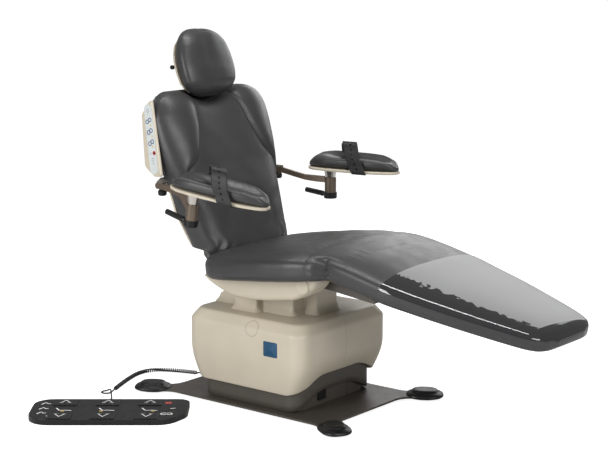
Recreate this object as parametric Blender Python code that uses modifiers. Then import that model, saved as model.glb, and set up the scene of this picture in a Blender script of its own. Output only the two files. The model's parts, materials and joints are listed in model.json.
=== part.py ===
# Oral surgery chair: a lift pedestal, a tilting seat, a reclining back with headrest and arm boards,
# a leg section, and a foot control on a curly cord.
# Metres, +Z up. The foot end points to -Y, the patient's right is -X, and the origin lies on the
# floor under the middle of the pedestal.

import math

import bmesh
import bpy
from mathutils import Matrix, Vector

# Clearances
CLEAR = 0.0003
RUN = 0.0006

# Base plate and foot caps
PLATE_THICK = 0.0135
PLATE_EDGE = 0.0070
PLATE_FOOT_X = 0.205
PLATE_FOOT_Y = 0.300
PLATE_HALF_WIDTH = 0.240
PLATE_HALF_LENGTH = 0.345
LEG_X = 0.249
LEG_Y = 0.390
LEG_ANGLE = math.radians(58)
LEG_HALF_WIDTH = 0.036
LEG_TIP = 0.036
LEG_FILLET = 0.060
LEG_TIP_RADIUS = 0.010
CAP_LENGTH = 0.126
CAP_WIDTH = 0.100
CAP_HEIGHT = 0.033
CAP_RING = 16
CAP_SQUARENESS = 2.6

# Telescoping skirts of the pedestal
SKIRT_WALL = 0.004
INNER_HALF_X = 0.186
INNER_HALF_Y = 0.188
INNER_TOP = 0.255
MID_HALF_X = 0.204
MID_HALF_Y = 0.204
MID_TOP = 0.288
MID_ARCH = 0.066
SKIRT_RADIUS = 0.040
MID_RADIUS = 0.045
MID_FLAT = 0.060
CARRIER_THICK = 0.016

# Power inlet on the front of the inner skirt
INLET_X = -0.058
INLET_Z = 0.045
INLET_WIDTH = 0.041
INLET_HEIGHT = 0.030
INLET_DEPTH = 0.006

# Upper pedestal cover
COVER_WALL = 0.004
COVER_RIDGE_X = 0.238
COVER_RIDGE_Y = 0.248
COVER_RIDGE_Z = 0.278
COVER_DECK_X = 0.213
COVER_DECK_Y = 0.229
COVER_DECK_Z = 0.311
COVER_BELLY_Z = 0.195
COVER_HEM_X = 0.220
COVER_HEM_Y = 0.224
COVER_HEM_REAR = 0.238
COVER_HEM_Z = 0.074
COVER_ARCH = 0.127
COVER_RADIUS = 0.052
COVER_HEM_RADIUS = 0.062
COVER_FLAT = 0.085

# Three stage lift column and its motor
COLUMN_HALF = 0.085
COLUMN_WALL = 0.009
COLUMN_TOP = 0.246
COLUMN_STEP = 0.004
MOTOR_X = 0.134
MOTOR_RADIUS = 0.036
MOTOR_HEIGHT = 0.150

# Neck shroud on the deck
NECK_HALF_X = 0.116
NECK_FRONT = 0.116
NECK_REAR = 0.106
NECK_BLOCK_X = 0.150
NECK_BLOCK_Y = 0.011
NECK_NOSE_X = 0.056
NECK_NOSE_Y = 0.168
NECK_TAIL_X = 0.094
NECK_TAIL_Y = 0.222
NECK_TOP = 0.402
NECK_TAIL_TOP = 0.335
NECK_ROUND = 0.008
NECK_CAVITY_X = 0.094
NECK_CAVITY_Y = 0.090

# Tilt axis, seat plane and seat frame
TILT_Z = 0.398
SHAFT_RADIUS = 0.012
SEAT_Z = 0.446
SEAT_PITCH = math.radians(6.2)
SEAT_PLATE_THICK = 0.012
SEAT_PLATE_HALF = 0.160
SEAT_PLATE_REAR = 0.125
LUG_THICK = 0.016
LUG_RADIUS = 0.020

# Seat pan cheeks
PAN_WIDTH = 0.074
PAN_ROUND = 0.014
BOSS_RADIUS = 0.0255
BOSS_PROUD = 0.004

# Seat cushion, as its length, half width and thickness
SEAT_REAR = 0.149
SEAT_LENGTH = 0.488
SEAT_HALF_WIDTH = 0.305
SEAT_THICK = 0.096
SEAT_LEAN = -0.06

# Knee axis, set back from the front of the seat
KNEE_BACK = 0.089
KNEE_Y = SEAT_REAR - SEAT_LENGTH + KNEE_BACK
KNEE_Z = 0.447
SEAT_PLATE_GAP = 0.025
SEAT_PLATE_FRONT = -KNEE_Y - SEAT_PLATE_GAP

# Leg section
LEG_PITCH = math.radians(11.4)
LEG_UNDER = 0.0520
LEG_REAR = 0.1161
LEG_LENGTH = 0.708
LEG_PAD_HALF = 0.272
LEG_THICK = 0.093
LEG_LEAN = 0.60
LEAN_SHARE = 0.08
LEG_PLATE_THICK = 0.010
LEG_PLATE_HALF = 0.120
LEG_PLATE_LENGTH = 0.560
LEG_ARM_THICK = 0.024
LEG_ARM_X = 0.118
LEG_ARM_REACH = 0.215
KNEE_EYE = 0.0185
COVER_SLACK = 0.0005
COVER_FILM = 0.0008
FOOT_COVER_FROM = 0.27

# Back: hinge place, lean of its frame, cushion, shell
BACK_HINGE_Y = 0.2236
BACK_HINGE_Z = 0.4432
BACK_LEAN = math.radians(13.0)
BACK_REAR = 0.026
BACK_FOOT = 0.014
BACK_TUCK = -0.020
BACK_EDGE = 0.004
BACK_TOP = 0.586
BACK_DIP = 0.046
BACK_HALF = 0.270
BACK_DEPTH = 0.082
BOLSTER = 0.020
FRAME_THICK = 0.012
FRAME_HALF = 0.150
FRAME_FOOT = 0.088
FRAME_TOP = 0.520
HINGE_LUG_X = 0.100
HINGE_LUG_THICK = 0.018
HINGE_EYE = 0.017
HINGE_PIN_RADIUS = 0.008
LUG_BEND = 0.031
SHELL_FOOT = 0.066
SHELL_DEPTH = 0.048
SHELL_WALL = 0.0035
SHELL_INSET = 0.012
SHELL_TAPER = 0.040
SHELL_TAPER_SHARE = 0.28

# Keypad pod on the patient's right
POD_PROUD = 0.014
POD_WIDTH = 0.052
POD_OUT = BACK_HALF + POD_PROUD
POD_IN = POD_OUT - POD_WIDTH
POD_FOOT = 0.314
POD_TOP = 0.566
POD_REAR = 0.101
POD_REAR_TOP = 0.084
POD_RADIUS = 0.040
POD_SKIN = 0.006
POD_TAB_FOOT = 0.415
POD_TAB_TOP = 0.455
POD_TURN = math.radians(3.8)
KEYPAD_Y = 0.0530
KEYPAD_Z = 0.440
KEYPAD_WIDTH = 0.035
KEYPAD_HEIGHT = 0.232
KEYPAD_THICK = 0.0012
KEYPAD_TURN = math.radians(2.2)

# Headrest
HEAD_GAP = 0.016
HEAD_FOOT = BACK_TOP - BACK_DIP + HEAD_GAP
HEAD_HEIGHT = 0.232
HEAD_HALF = 0.125
HEAD_SQUARENESS = 2.8
HEAD_CROWN = 0.008
HEAD_FRONT = 0.0532
HEAD_REAR = 0.0168
HEAD_SHELL_THICK = 0.018
HEAD_PIVOT_Y = 0.0538
HEAD_PIVOT_Z = HEAD_FOOT + 0.1189
HEAD_BAR_HALF = 0.026
HEAD_BAR_THICK = 0.008
HEAD_BAR_FOOT = 0.250
HEAD_BAR_BEND = HEAD_FOOT + 0.034
HEAD_LEAN = math.radians(6.2)
KNUCKLE_RADIUS = 0.012
HEAD_EAR_THICK = 0.010
HEAD_ROD_RADIUS = 0.005
HEAD_KNOB_X = 0.0870
HEAD_KNOB_RADIUS = 0.0075
HEAD_KNOB_LENGTH = 0.0095

# Arms: pivot on the back, post place, clamp parts
ARM_Y = 0.268
ARM_BRACKET_FOOT = 0.294
ARM_BRACKET_THICK = 0.0060
ARM_BRACKET_HALF = 0.0135
POST_X = 0.360
POST_Y = 0.098
SLEEVE_FOOT = 0.638
SLEEVE_HEIGHT = 0.052
SLEEVE_RADIUS = 0.0203
POST_RADIUS = 0.0150
BAR_HALF_HEIGHT = 0.0095
BAR_THICK = 0.013
BAR_TAIL = 0.024
CONE_FOOT_RADIUS = 0.0170
CONE_TOP_RADIUS = 0.0230
COLLAR_HEIGHT = 0.021
COLLAR_RADIUS = 0.0232
LEVER_LENGTH = 0.085
BAR_WEB = 0.018
LEVER_RADIUS = 0.0098
LEVER_RISE = math.radians(5)
ARM_KNOB_RADIUS = 0.0150
ARM_KNOB_HEIGHT = 0.020
ARM_BOLT_RADIUS = 0.005

# The two arms: side, lean of the post, turn of the board, pivot place, how much lower the bracket sits,
# line of the bar as shares of its reach and of its drop, and rise of the pad to its far side
ARM_OUT_RIGHT = 0.051
ARM_OUT_LEFT = 0.031
ARM_SIDES = (
    {"name": "right", "side": -1, "lean": math.radians(9.0), "yaw": math.radians(13.0), "cone": 0.040,
     "x": BACK_HALF + ARM_OUT_RIGHT,
     "y": 0.264,
     "lower": 0.0, "drop": 0.016, "falls": ((0.10, 0.0), (0.5, 0.45), (1.0, 1.0)), "slant": 0.012},
    {"name": "left", "side": 1, "lean": 0.0, "yaw": math.radians(9.0), "cone": 0.029,
     "x": BACK_HALF + ARM_OUT_LEFT,
     "y": 0.288,
     "lower": 0.018, "drop": 0.024, "falls": ((0.10, 0.0), (0.32, 0.45), (0.54, 0.86), (1.0, 1.0)),
     "slant": 0.020},
)

# Arm boards: tray, pad, strap
TRAY_REAR = 0.075
TRAY_LENGTH = 0.336
TRAY_HALF = 0.056
TRAY_THICK = 0.0095
TRAY_RIM = 0.003
PAD_THICK = 0.046
PAD_TROUGH = 0.013
STRAP_AHEAD = 0.160
STRAP_WIDTH = 0.056
STRAP_THICK = 0.0025
STRAP_RISE = 0.050
STRAP_LEAN = 0.50
STRAP_LEAN_TOP = 0.13
STRAP_SLANT = 0.080

# Foot control on the floor
CONTROL_X = -0.545
CONTROL_Y = 0.302
CONTROL_TURN = math.radians(-51.4)
CONTROL_HALF_X = 0.255
CONTROL_FRONT = 0.118
CONTROL_BACK = 0.118
CONTROL_HEIGHT = 0.018
CONTROL_CORNER = 0.075
CONTROL_STEPS = 7
CONTROL_SLANT_X = 0.055
CONTROL_SLANT_Y = 0.085
PEDAL_PITCH = 0.139
PEDAL_SHIFT = 0.0125
PEDAL_UP_Y = 0.073
PEDAL_DOWN_Y = -0.077
PEDAL_WIDTH = 0.077
PEDAL_DEPTH = 0.062
PEDAL_THICK = 0.010
PEDAL_PROUD = 0.003
PEDAL_TRAVEL = 0.003

# Curly cord and its gland
WIRE = 0.0052
CURL_WIDTH = 0.0150
CURLS = 56
CURL_POINTS = 8
GLAND_X = -0.012
GLAND_Z = 0.045
GLAND_LENGTH = 0.020
GLAND_RADIUS = 0.0075
# Route of the cord's middle line, chosen by hand, from the gland to the foot control.
# The curls run between the first and the last point of the second list.
CORD_TAIL = ((-0.0120, 0.222, 0.0440), (-0.0118, 0.250, 0.0340), (-0.0110, 0.285, 0.0215),
             (-0.0100, 0.320, 0.0168), (-0.0094, 0.352, 0.0166), (-0.0098, 0.378, 0.0118))
CORD_CURLY = ((-0.0110, 0.400, 0.0080), (-0.0230, 0.443, 0.0079), (-0.0390, 0.486, 0.0079),
              (-0.0640, 0.530, 0.0079), (-0.0950, 0.554, 0.0079), (-0.1340, 0.561, 0.0079),
              (-0.1780, 0.552, 0.0079), (-0.2360, 0.530, 0.0079), (-0.2910, 0.506, 0.0079),
              (-0.3420, 0.482, 0.0080))
CORD_LEAD = ((-0.3570, 0.4755, 0.0070), (-0.3710, 0.4730, 0.0037), (-0.3840, 0.4790, 0.0030),
             (-0.3890, 0.4910, 0.0030), (-0.3840, 0.5030, 0.0030), (-0.3720, 0.5070, 0.0030),
             (-0.3620, 0.5010, 0.0038), (-0.3615, 0.4890, 0.0092), (-0.3690, 0.4745, 0.0126),
             (-0.3820, 0.4590, 0.0100), (-0.3990, 0.4400, 0.0048), (-0.4180, 0.4200, 0.0050),
             (-0.4360, 0.4035, 0.0085))

# Facets of the rough forms
ARC = 5
ROUND = 16
RING = 20

parts = bpy.data.collections.new("oral_surgery_chair")
cutters = bpy.data.collections.new("cutters")


# Scene helpers

def clear_scene():
    for obj in list(bpy.data.objects):
        bpy.data.objects.remove(obj)
    for collection in (parts, cutters):
        bpy.context.scene.collection.children.link(collection)


def paint(name, colour, roughness, metallic=0.0):
    material = bpy.data.materials.new(name)
    material.use_nodes = True
    shader = material.node_tree.nodes["Principled BSDF"]
    shader.inputs["Base Color"].default_value = (*colour, 1.0)
    shader.inputs["Roughness"].default_value = roughness
    shader.inputs["Metallic"].default_value = metallic
    return material


def axis_empty(name, place, turn=(0.0, 0.0, 0.0), parent=None):
    empty = bpy.data.objects.new(name, None)
    empty.location = place
    empty.rotation_euler = turn
    empty.parent = parent
    parts.objects.link(empty)
    return empty


def add_part(name, mesh, material, parent=None, place=(0.0, 0.0, 0.0), smooth=None):
    obj = bpy.data.objects.new(name, mesh)
    obj.location = place
    obj.parent = parent
    mesh.materials.clear()
    mesh.materials.append(material)
    if smooth:
        mesh.shade_smooth()
        mesh.set_sharp_from_angle(angle=math.radians(smooth))
    parts.objects.link(obj)
    return obj


def add_cutter(name, mesh, parent=None, place=(0.0, 0.0, 0.0)):
    obj = bpy.data.objects.new(name, mesh)
    obj.location = place
    obj.parent = parent
    obj.hide_render = True
    obj.display_type = "WIRE"
    cutters.objects.link(obj)
    return obj


def boolean(obj, other, operation="DIFFERENCE"):
    modifier = obj.modifiers.new(other.name, "BOOLEAN")
    modifier.operation = operation
    modifier.solver = "EXACT"
    modifier.object = other


def bevel(obj, width, segments=2, angle=40):
    modifier = obj.modifiers.new("rounded_edges", "BEVEL")
    modifier.width = width
    modifier.segments = segments
    modifier.limit_method = "ANGLE"
    modifier.angle_limit = math.radians(angle)
    return obj


def solidify(obj, thickness, offset=-1.0):
    modifier = obj.modifiers.new("wall", "SOLIDIFY")
    modifier.thickness = thickness
    modifier.offset = offset
    modifier.use_even_offset = True
    return obj


# Mesh helpers

def mesh_from_bmesh(shape, name):
    mesh = bpy.data.meshes.new(name)
    shape.to_mesh(mesh)
    shape.free()
    return mesh


def block(low, high, name="block"):
    shape = bmesh.new()
    bmesh.ops.create_cube(shape, size=1.0)
    size = [h - l for l, h in zip(low, high)]
    middle = [(l + h) / 2 for l, h in zip(low, high)]
    bmesh.ops.scale(shape, vec=size, verts=shape.verts)
    bmesh.ops.translate(shape, vec=middle, verts=shape.verts)
    return mesh_from_bmesh(shape, name)


def rod(start, end, radius, end_radius=None, sides=ROUND, name="rod"):
    start, end = Vector(start), Vector(end)
    along = end - start
    turn = along.to_track_quat("Z", "Y").to_matrix().to_4x4()
    shape = bmesh.new()
    bmesh.ops.create_cone(shape, cap_ends=True, segments=sides, radius1=radius,
                          radius2=radius if end_radius is None else end_radius, depth=along.length)
    bmesh.ops.transform(shape, matrix=Matrix.Translation((start + end) / 2) @ turn, verts=shape.verts)
    return mesh_from_bmesh(shape, name)


def joined(meshes, name="joined"):
    shape = bmesh.new()
    for mesh in meshes:
        shape.from_mesh(mesh)
        bpy.data.meshes.remove(mesh)
    return mesh_from_bmesh(shape, name)


def outline(loops, low, high, plane="XY", name="outline"):
    """A flat outline with holes, thick from low to high along the plane's normal."""
    curve = bpy.data.curves.new(name, "CURVE")
    curve.dimensions = "2D"
    curve.fill_mode = "BOTH"
    curve.extrude = (high - low) / 2
    for loop in loops:
        spline = curve.splines.new("POLY")
        spline.points.add(len(loop) - 1)
        for point, (u, v) in zip(spline.points, loop):
            point.co = (u, v, 0.0, 1.0)
        spline.use_cyclic_u = True
    obj = bpy.data.objects.new(name, curve)
    cutters.objects.link(obj)
    graph = bpy.context.evaluated_depsgraph_get()
    mesh = bpy.data.meshes.new_from_object(obj.evaluated_get(graph))
    bpy.data.objects.remove(obj)
    bpy.data.curves.remove(curve)
    shape = bmesh.new()
    shape.from_mesh(mesh)
    bpy.data.meshes.remove(mesh)
    bmesh.ops.remove_doubles(shape, verts=shape.verts, dist=0.00001)
    bmesh.ops.recalc_face_normals(shape, faces=shape.faces)
    turn = {"XY": Matrix.Identity(4),
            "YZ": Matrix(((0, 0, 1, 0), (1, 0, 0, 0), (0, 1, 0, 0), (0, 0, 0, 1))),
            "XZ": Matrix(((1, 0, 0, 0), (0, 0, -1, 0), (0, 1, 0, 0), (0, 0, 0, 1)))}[plane]
    lift = Matrix.Translation((0.0, 0.0, (low + high) / 2))
    bmesh.ops.transform(shape, matrix=turn @ lift, verts=shape.verts)
    return mesh_from_bmesh(shape, name)


def grid(rows, loop=True, flip=False, caps=False, strips=False, split=False, name="grid"):
    """A surface through rows of points; loop closes each row, caps closes the first and last rows,
    strips lays each cap as quads between its two long sides, split turns all quads into triangles."""
    shape = bmesh.new()
    verts = [[shape.verts.new(point) for point in row] for row in rows]
    count = len(rows[0])
    for low, high in zip(verts[:-1], verts[1:]):
        for i in range(count if loop else count - 1):
            j = (i + 1) % count
            face = [low[i], low[j], high[j], high[i]]
            shape.faces.new(face[::-1] if flip else face)
    if caps:
        for row in (verts[0][::-1], verts[-1]):
            if strips:
                for i in range(count // 2):
                    corners = [row[i], row[i + 1], row[-1 - i], row[-i]]
                    shape.faces.new(list(dict.fromkeys(corners)))
            else:
                shape.faces.new(row)
        bmesh.ops.recalc_face_normals(shape, faces=shape.faces)
    if split:
        bmesh.ops.triangulate(shape, faces=shape.faces)
    return mesh_from_bmesh(shape, name)


def turned(profile, material, name, parent=None, place=(0.0, 0.0, 0.0), sides=ROUND):
    """A turned shape: (radius, height) points from the top down, with both ends on the axis."""
    mesh = bpy.data.meshes.new(name)
    mesh.from_pydata([(r, 0.0, z) for r, z in profile],
                     [(i, i + 1) for i in range(len(profile) - 1)], [])
    obj = add_part(name, mesh, material, parent, place)
    screw = obj.modifiers.new("turned", "SCREW")
    screw.steps = sides
    screw.render_steps = sides
    screw.use_merge_vertices = True
    screw.merge_threshold = 0.00001
    screw.use_smooth_shade = True
    return obj


# Outline helpers

def arc(centre, radius, start, end, steps=ARC):
    turns = [start + (end - start) * i / steps for i in range(steps + 1)]
    return [(centre[0] + radius * math.cos(t), centre[1] + radius * math.sin(t)) for t in turns]


def circle(centre, radius, sides=ROUND):
    return arc(centre, radius, 0.0, 2 * math.pi, sides)[:-1]


def rounded(corners, steps=3):
    """A polygon of (x, y, radius) corners with each corner replaced by an arc."""
    points = []
    for i, (x, y, radius) in enumerate(corners):
        here = Vector((x, y))
        back = Vector(corners[i - 1][:2]) - here
        ahead = Vector(corners[(i + 1) % len(corners)][:2]) - here
        if radius == 0:
            points.append((x, y))
            continue
        half = back.angle(ahead) / 2
        reach = radius / math.tan(half)
        middle = here + (back.normalized() + ahead.normalized()).normalized() * (radius / math.sin(half))
        first = here + back.normalized() * reach - middle
        sweep = first.angle_signed(here + ahead.normalized() * reach - middle)
        for step in range(steps + 1):
            swung = first.copy()
            swung.rotate(Matrix.Rotation(-sweep * step / steps, 2))
            points.append(tuple(middle + swung))
    return points


def rounded_rect(half_x, half_y, radius, steps=3):
    return rounded([(half_x, -half_y, radius), (half_x, half_y, radius),
                    (-half_x, half_y, radius), (-half_x, -half_y, radius)], steps)


def between(table, f):
    """Smooth reading of a table of (share, value) pairs."""
    for (f0, v0), (f1, v1) in zip(table[:-1], table[1:]):
        if f <= f1:
            t = (f - f0) / (f1 - f0)
            return v0 + (v1 - v0) * (3 * t * t - 2 * t * t * t)
    return table[-1][1]


def power(value, exponent):
    return math.copysign(abs(value) ** exponent, value)


def pad_ring(half, low, high, crown, count=RING, squareness=4.0, under=None):
    """Cross-section of a pad: a rounded box from low to high, its top raised by crown in the middle."""
    ring = []
    for i in range(count):
        turn = 2 * math.pi * i / count
        square = under if under and math.sin(turn) < 0 else squareness
        x = half * power(math.cos(turn), 2 / square)
        rise = power(math.sin(turn), 2 / square)
        z = (low + high) / 2 + (high - low) / 2 * rise
        if rise > 0:
            z += crown * rise * (1 - (x / half) ** 2)
        ring.append((x, z))
    return ring


def smooth_path(points, spacing):
    """Points at an even spacing along a smooth curve through the given points."""
    points = [Vector(p) for p in points]
    ends = [2 * points[0] - points[1], *points, 2 * points[-1] - points[-2]]
    fine = []
    for p0, p1, p2, p3 in zip(ends[:-3], ends[1:-2], ends[2:-1], ends[3:]):
        for step in range(16):
            t = step / 16
            fine.append(0.5 * (2 * p1 + (p2 - p0) * t + (2 * p0 - 5 * p1 + 4 * p2 - p3) * t * t
                               + (3 * p1 - p0 - 3 * p2 + p3) * t * t * t))
    fine.append(points[-1])
    lengths = [0.0]
    for a, b in zip(fine[:-1], fine[1:]):
        lengths.append(lengths[-1] + (b - a).length)
    count = max(2, round(lengths[-1] / spacing))
    path, k = [], 0
    for i in range(count + 1):
        goal = lengths[-1] * i / count
        while k < len(fine) - 2 and lengths[k + 1] < goal:
            k += 1
        path.append(fine[k].lerp(fine[k + 1], (goal - lengths[k]) / (lengths[k + 1] - lengths[k])))
    return path


# Materials

def make_materials():
    return {
        "plate": paint("plate_paint", (0.075, 0.064, 0.052), 0.42, 0.2),
        "black": paint("black_moulding", (0.014, 0.014, 0.015), 0.45),
        "beige": paint("beige_moulding", (0.47, 0.41, 0.30), 0.42),
        "skirt": paint("skirt_moulding", (0.085, 0.075, 0.062), 0.5),
        "steel": paint("machined_steel", (0.50, 0.50, 0.50), 0.35, 1.0),
        "frame": paint("frame_paint", (0.10, 0.085, 0.07), 0.5, 0.3),
        "vinyl": paint("charcoal_upholstery", (0.060, 0.060, 0.061), 0.45),
        "film": paint("clear_vinyl", (0.62, 0.63, 0.63), 0.12),
        "bar": paint("bronze_paint", (0.17, 0.125, 0.092), 0.38, 0.4),
        "polished": paint("polished_steel", (0.62, 0.60, 0.57), 0.12, 1.0),
        "strap": paint("strap_rubber", (0.026, 0.026, 0.027), 0.55),
        "keypad": paint("keypad_film", (0.62, 0.66, 0.67), 0.4),
    }


# Pedestal

def quarter_turns():
    return (("front_right", -1, -1), ("front_left", 1, -1), ("rear_left", 1, 1), ("rear_right", -1, 1))


def plate_corners(grow):
    """Corners of the plate: each leg has a side fillet, two tip corners and an end fillet."""
    along = Vector((math.cos(LEG_ANGLE), math.sin(LEG_ANGLE)))
    across = Vector((-along.y, along.x)) * (LEG_HALF_WIDTH + grow)
    middle = Vector((LEG_X, LEG_Y))
    tip = along * (LEG_TIP + grow)
    outer = middle - across
    inner = middle + across
    side = outer - along * ((outer.x - PLATE_HALF_WIDTH - grow) / along.x)
    end = inner - along * ((inner.y - PLATE_HALF_LENGTH - grow) / along.y)
    fillet = LEG_FILLET - grow
    round_tip = LEG_TIP_RADIUS + grow
    quarter = [(*side, fillet), (*(outer + tip), round_tip), (*(inner + tip), round_tip), (*end, fillet)]
    corners = [(x, y, r) for x, y, r in quarter]
    corners += [(-x, y, r) for x, y, r in quarter[::-1]]
    corners += [(-x, -y, r) for x, y, r in quarter]
    corners += [(x, -y, r) for x, y, r in quarter[::-1]]
    return rounded(corners)


def make_base_plate(mats):
    """A thin splayed plate, thickened under the pedestal where it stands on the floor."""
    plate = outline([plate_corners(0.0)], PLATE_THICK - PLATE_EDGE, PLATE_THICK)
    plate = add_part("base_plate", plate, mats["plate"])
    foot = rounded_rect(PLATE_FOOT_X, PLATE_FOOT_Y, SKIRT_RADIUS)
    boolean(plate, add_cutter("plate_foot", outline([foot], 0.0, PLATE_THICK - PLATE_EDGE / 2)), "UNION")


def make_foot_caps(mats):
    """Each cap is a low rounded form with a raised plateau, slotted over its leg."""
    levels = ((0.00, 0.56), (0.22, 0.92), (0.36, 1.00), (0.54, 0.97), (0.76, 0.84), (0.93, 0.64),
              (1.00, 0.52))
    room = add_cutter("plate_room", outline([plate_corners(CLEAR)], -PLATE_THICK, PLATE_THICK + CLEAR))
    for name, sign_x, sign_y in quarter_turns():
        turn = math.atan2(sign_y * math.sin(LEG_ANGLE), sign_x * math.cos(LEG_ANGLE))
        place = axis_empty(f"leg_end_{name}", (sign_x * LEG_X, sign_y * LEG_Y, 0.0), (0.0, 0.0, turn))
        rows = []
        for rise, share in levels:
            plan = pad_ring(CAP_LENGTH / 2 * share, -CAP_WIDTH / 2 * share, CAP_WIDTH / 2 * share, 0.0,
                            CAP_RING, CAP_SQUARENESS)
            rows.append([(x, y, CAP_HEIGHT * rise) for x, y in plan])
        cap = add_part(f"foot_cap_{name}", grid(rows, caps=True, split=True), mats["black"], place,
                       smooth=40)
        boolean(cap, room)


def skirt_loop(half_x, half_y, radius):
    """A rounded rectangle, turning anticlockwise, with points along its ends for the arched hem."""
    straight_x = half_x - radius
    straight_y = half_y - radius
    loop = []
    for quarter, (sx, sy) in enumerate(((1, -1), (1, 1), (-1, 1), (-1, -1))):
        start = -math.pi / 2 + quarter * math.pi / 2
        loop += arc((sx * straight_x, sy * straight_y), radius, start, start + math.pi / 2)
        if quarter % 2 == 1:
            loop += [(sx * straight_x * share, sy * half_y) for share in (0.85, 0.6, 0.0, -0.6, -0.85)]
        else:
            loop.append((sx * half_x, 0.0))
    return loop


def arch(x, y, half_x, half_y, radius, low, high, flat):
    """Height of a hem that is low along the sides and rises in an S round each corner to the ends."""
    across = half_x - radius - abs(x)
    along = abs(y) - half_y + radius
    if along <= 0.0:
        return low
    run = radius * math.pi / 2 + across if across > 0 else radius * math.atan2(along, -across)
    t = min(1.0, run / (radius * math.pi / 2 + half_x - radius - flat))
    return low + (high - low) * (3 * t * t - 2 * t * t * t)


def make_skirts(mats):
    floor = PLATE_THICK + CLEAR
    inner = rounded_rect(INNER_HALF_X, INNER_HALF_Y, SKIRT_RADIUS - SKIRT_WALL)
    hollow = rounded_rect(INNER_HALF_X - SKIRT_WALL, INNER_HALF_Y - SKIRT_WALL,
                          SKIRT_RADIUS - 2 * SKIRT_WALL)
    add_part("inner_skirt", outline([inner, hollow], floor, INNER_TOP), mats["skirt"])

    loop = skirt_loop(MID_HALF_X, MID_HALF_Y, MID_RADIUS)
    hem = [(x, y, arch(x, y, MID_HALF_X, MID_HALF_Y, MID_RADIUS, floor, MID_ARCH, MID_FLAT)) for x,
           y in loop]
    rows = [hem, [(x, y, (z + MID_TOP) / 2) for x, y, z in hem], [(x, y, MID_TOP) for x, y in loop]]
    solidify(add_part("mid_skirt", grid(rows), mats["skirt"], smooth=30), SKIRT_WALL)

    reach_x = MID_HALF_X - SKIRT_WALL - CLEAR
    reach_y = MID_HALF_Y - SKIRT_WALL - CLEAR
    rim = rounded_rect(reach_x, reach_y, MID_RADIUS)
    seat = COLUMN_HALF - COLUMN_WALL - RUN + CLEAR
    hole = rounded_rect(seat, seat, COLUMN_STEP)
    top = MID_TOP - COLUMN_STEP
    add_part("skirt_carrier", outline([rim, hole], top - CARRIER_THICK, top), mats["frame"])

    front = -INNER_HALF_Y - CLEAR
    inlet = block((INLET_X - INLET_WIDTH / 2, front - INLET_DEPTH, INLET_Z - INLET_HEIGHT / 2),
                  (INLET_X + INLET_WIDTH / 2, front, INLET_Z + INLET_HEIGHT / 2))
    bevel(add_part("power_inlet", inlet, mats["black"]), SKIRT_WALL / 4, 1)


def column_half(stage):
    return COLUMN_HALF - stage * (COLUMN_WALL + RUN)


def make_column(mats):
    """Three square tubes, one inside the other; the inner one carries the tilt shaft."""
    floor = PLATE_THICK + CLEAR
    spans = (("column_outer", floor, COLUMN_TOP),
             ("column_middle", floor + COLUMN_STEP, MID_TOP - COLUMN_STEP),
             ("column_inner", floor + 2 * COLUMN_STEP, TILT_Z + LUG_RADIUS))
    for stage, (name, low, high) in enumerate(spans):
        half = column_half(stage)
        bore = half - COLUMN_WALL
        tube = outline([rounded_rect(half, half, COLUMN_STEP), rounded_rect(bore, bore, COLUMN_STEP)], low,
                       high)
        column = add_part(name, tube, mats["steel"])
    hole = rod((-COLUMN_HALF, 0.0, TILT_Z), (COLUMN_HALF, 0.0, TILT_Z), SHAFT_RADIUS + CLEAR + CLEAR)
    boolean(column, add_cutter("tilt_hole", hole))
    motor = turned([(0.0, MOTOR_HEIGHT), (MOTOR_RADIUS / 2, MOTOR_HEIGHT),
                    (MOTOR_RADIUS / 2, MOTOR_HEIGHT * 0.9), (MOTOR_RADIUS, MOTOR_HEIGHT * 0.85),
                    (MOTOR_RADIUS, 0.0), (0.0, 0.0)], mats["steel"], "lift_motor")
    motor.location = (MOTOR_X, 0.0, floor)


def half_loop(half_x, half_y, radius, side):
    """Half of a rounded rectangle on one side, from the middle of its front to the middle of its rear."""
    straight_x = half_x - radius
    straight_y = half_y - radius
    ends = (0.0, 0.5, 0.8)
    loop = [(-CLEAR / 2 - straight_x * share, -half_y) for share in ends]
    loop += arc((-straight_x, -straight_y), radius, 1.5 * math.pi, math.pi)
    loop += [(-half_x, 0.0)]
    loop += arc((-straight_x, straight_y), radius, math.pi, 0.5 * math.pi)
    loop += [(-CLEAR / 2 - straight_x * share, half_y) for share in ends[::-1]]
    return [(-side * x, y) for x, y in loop]


def make_covers(mats):
    """Each half is a bellied side, a chamfer up to the flat deck, and a notch round the column."""
    seat = column_half(2) + CLEAR
    for name, side in (("cover_right", -1), ("cover_left", 1)):
        ridge = half_loop(COVER_RIDGE_X, COVER_RIDGE_Y, COVER_RADIUS, side)
        deck = half_loop(COVER_DECK_X, COVER_DECK_Y, COVER_RADIUS, side)
        hem = half_loop(COVER_HEM_X, COVER_HEM_Y, COVER_HEM_RADIUS, side)
        notch = half_loop(seat, seat, COLUMN_STEP, side)
        shape = (COVER_HEM_X, COVER_HEM_Y, COVER_HEM_RADIUS, COVER_HEM_Z, COVER_ARCH, COVER_FLAT)
        rear = COVER_HEM_REAR / COVER_HEM_Y
        hem_rows = [(x, y * rear if y > 0 else y, arch(x, y, *shape)) for x, y in hem]
        rows = [hem_rows]
        for share in (0.5, 1.0):
            rows.append([((1 - share) * h[0] + share * r[0], (1 - share) * h[1] + share * r[1],
                          (1 - share) * h[2] + share * COVER_BELLY_Z)
                         for h, r in zip(hem_rows, ridge)])
        rows.append([(x, y, COVER_RIDGE_Z) for x, y in ridge])
        rows.append([(x, y, COVER_DECK_Z) for x, y in deck])
        rows.append([(x, y, COVER_DECK_Z) for x, y in notch])
        cover = add_part(name, grid(rows, loop=False, flip=side < 0), mats["beige"], smooth=25)
        solidify(cover, COVER_WALL)


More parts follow.
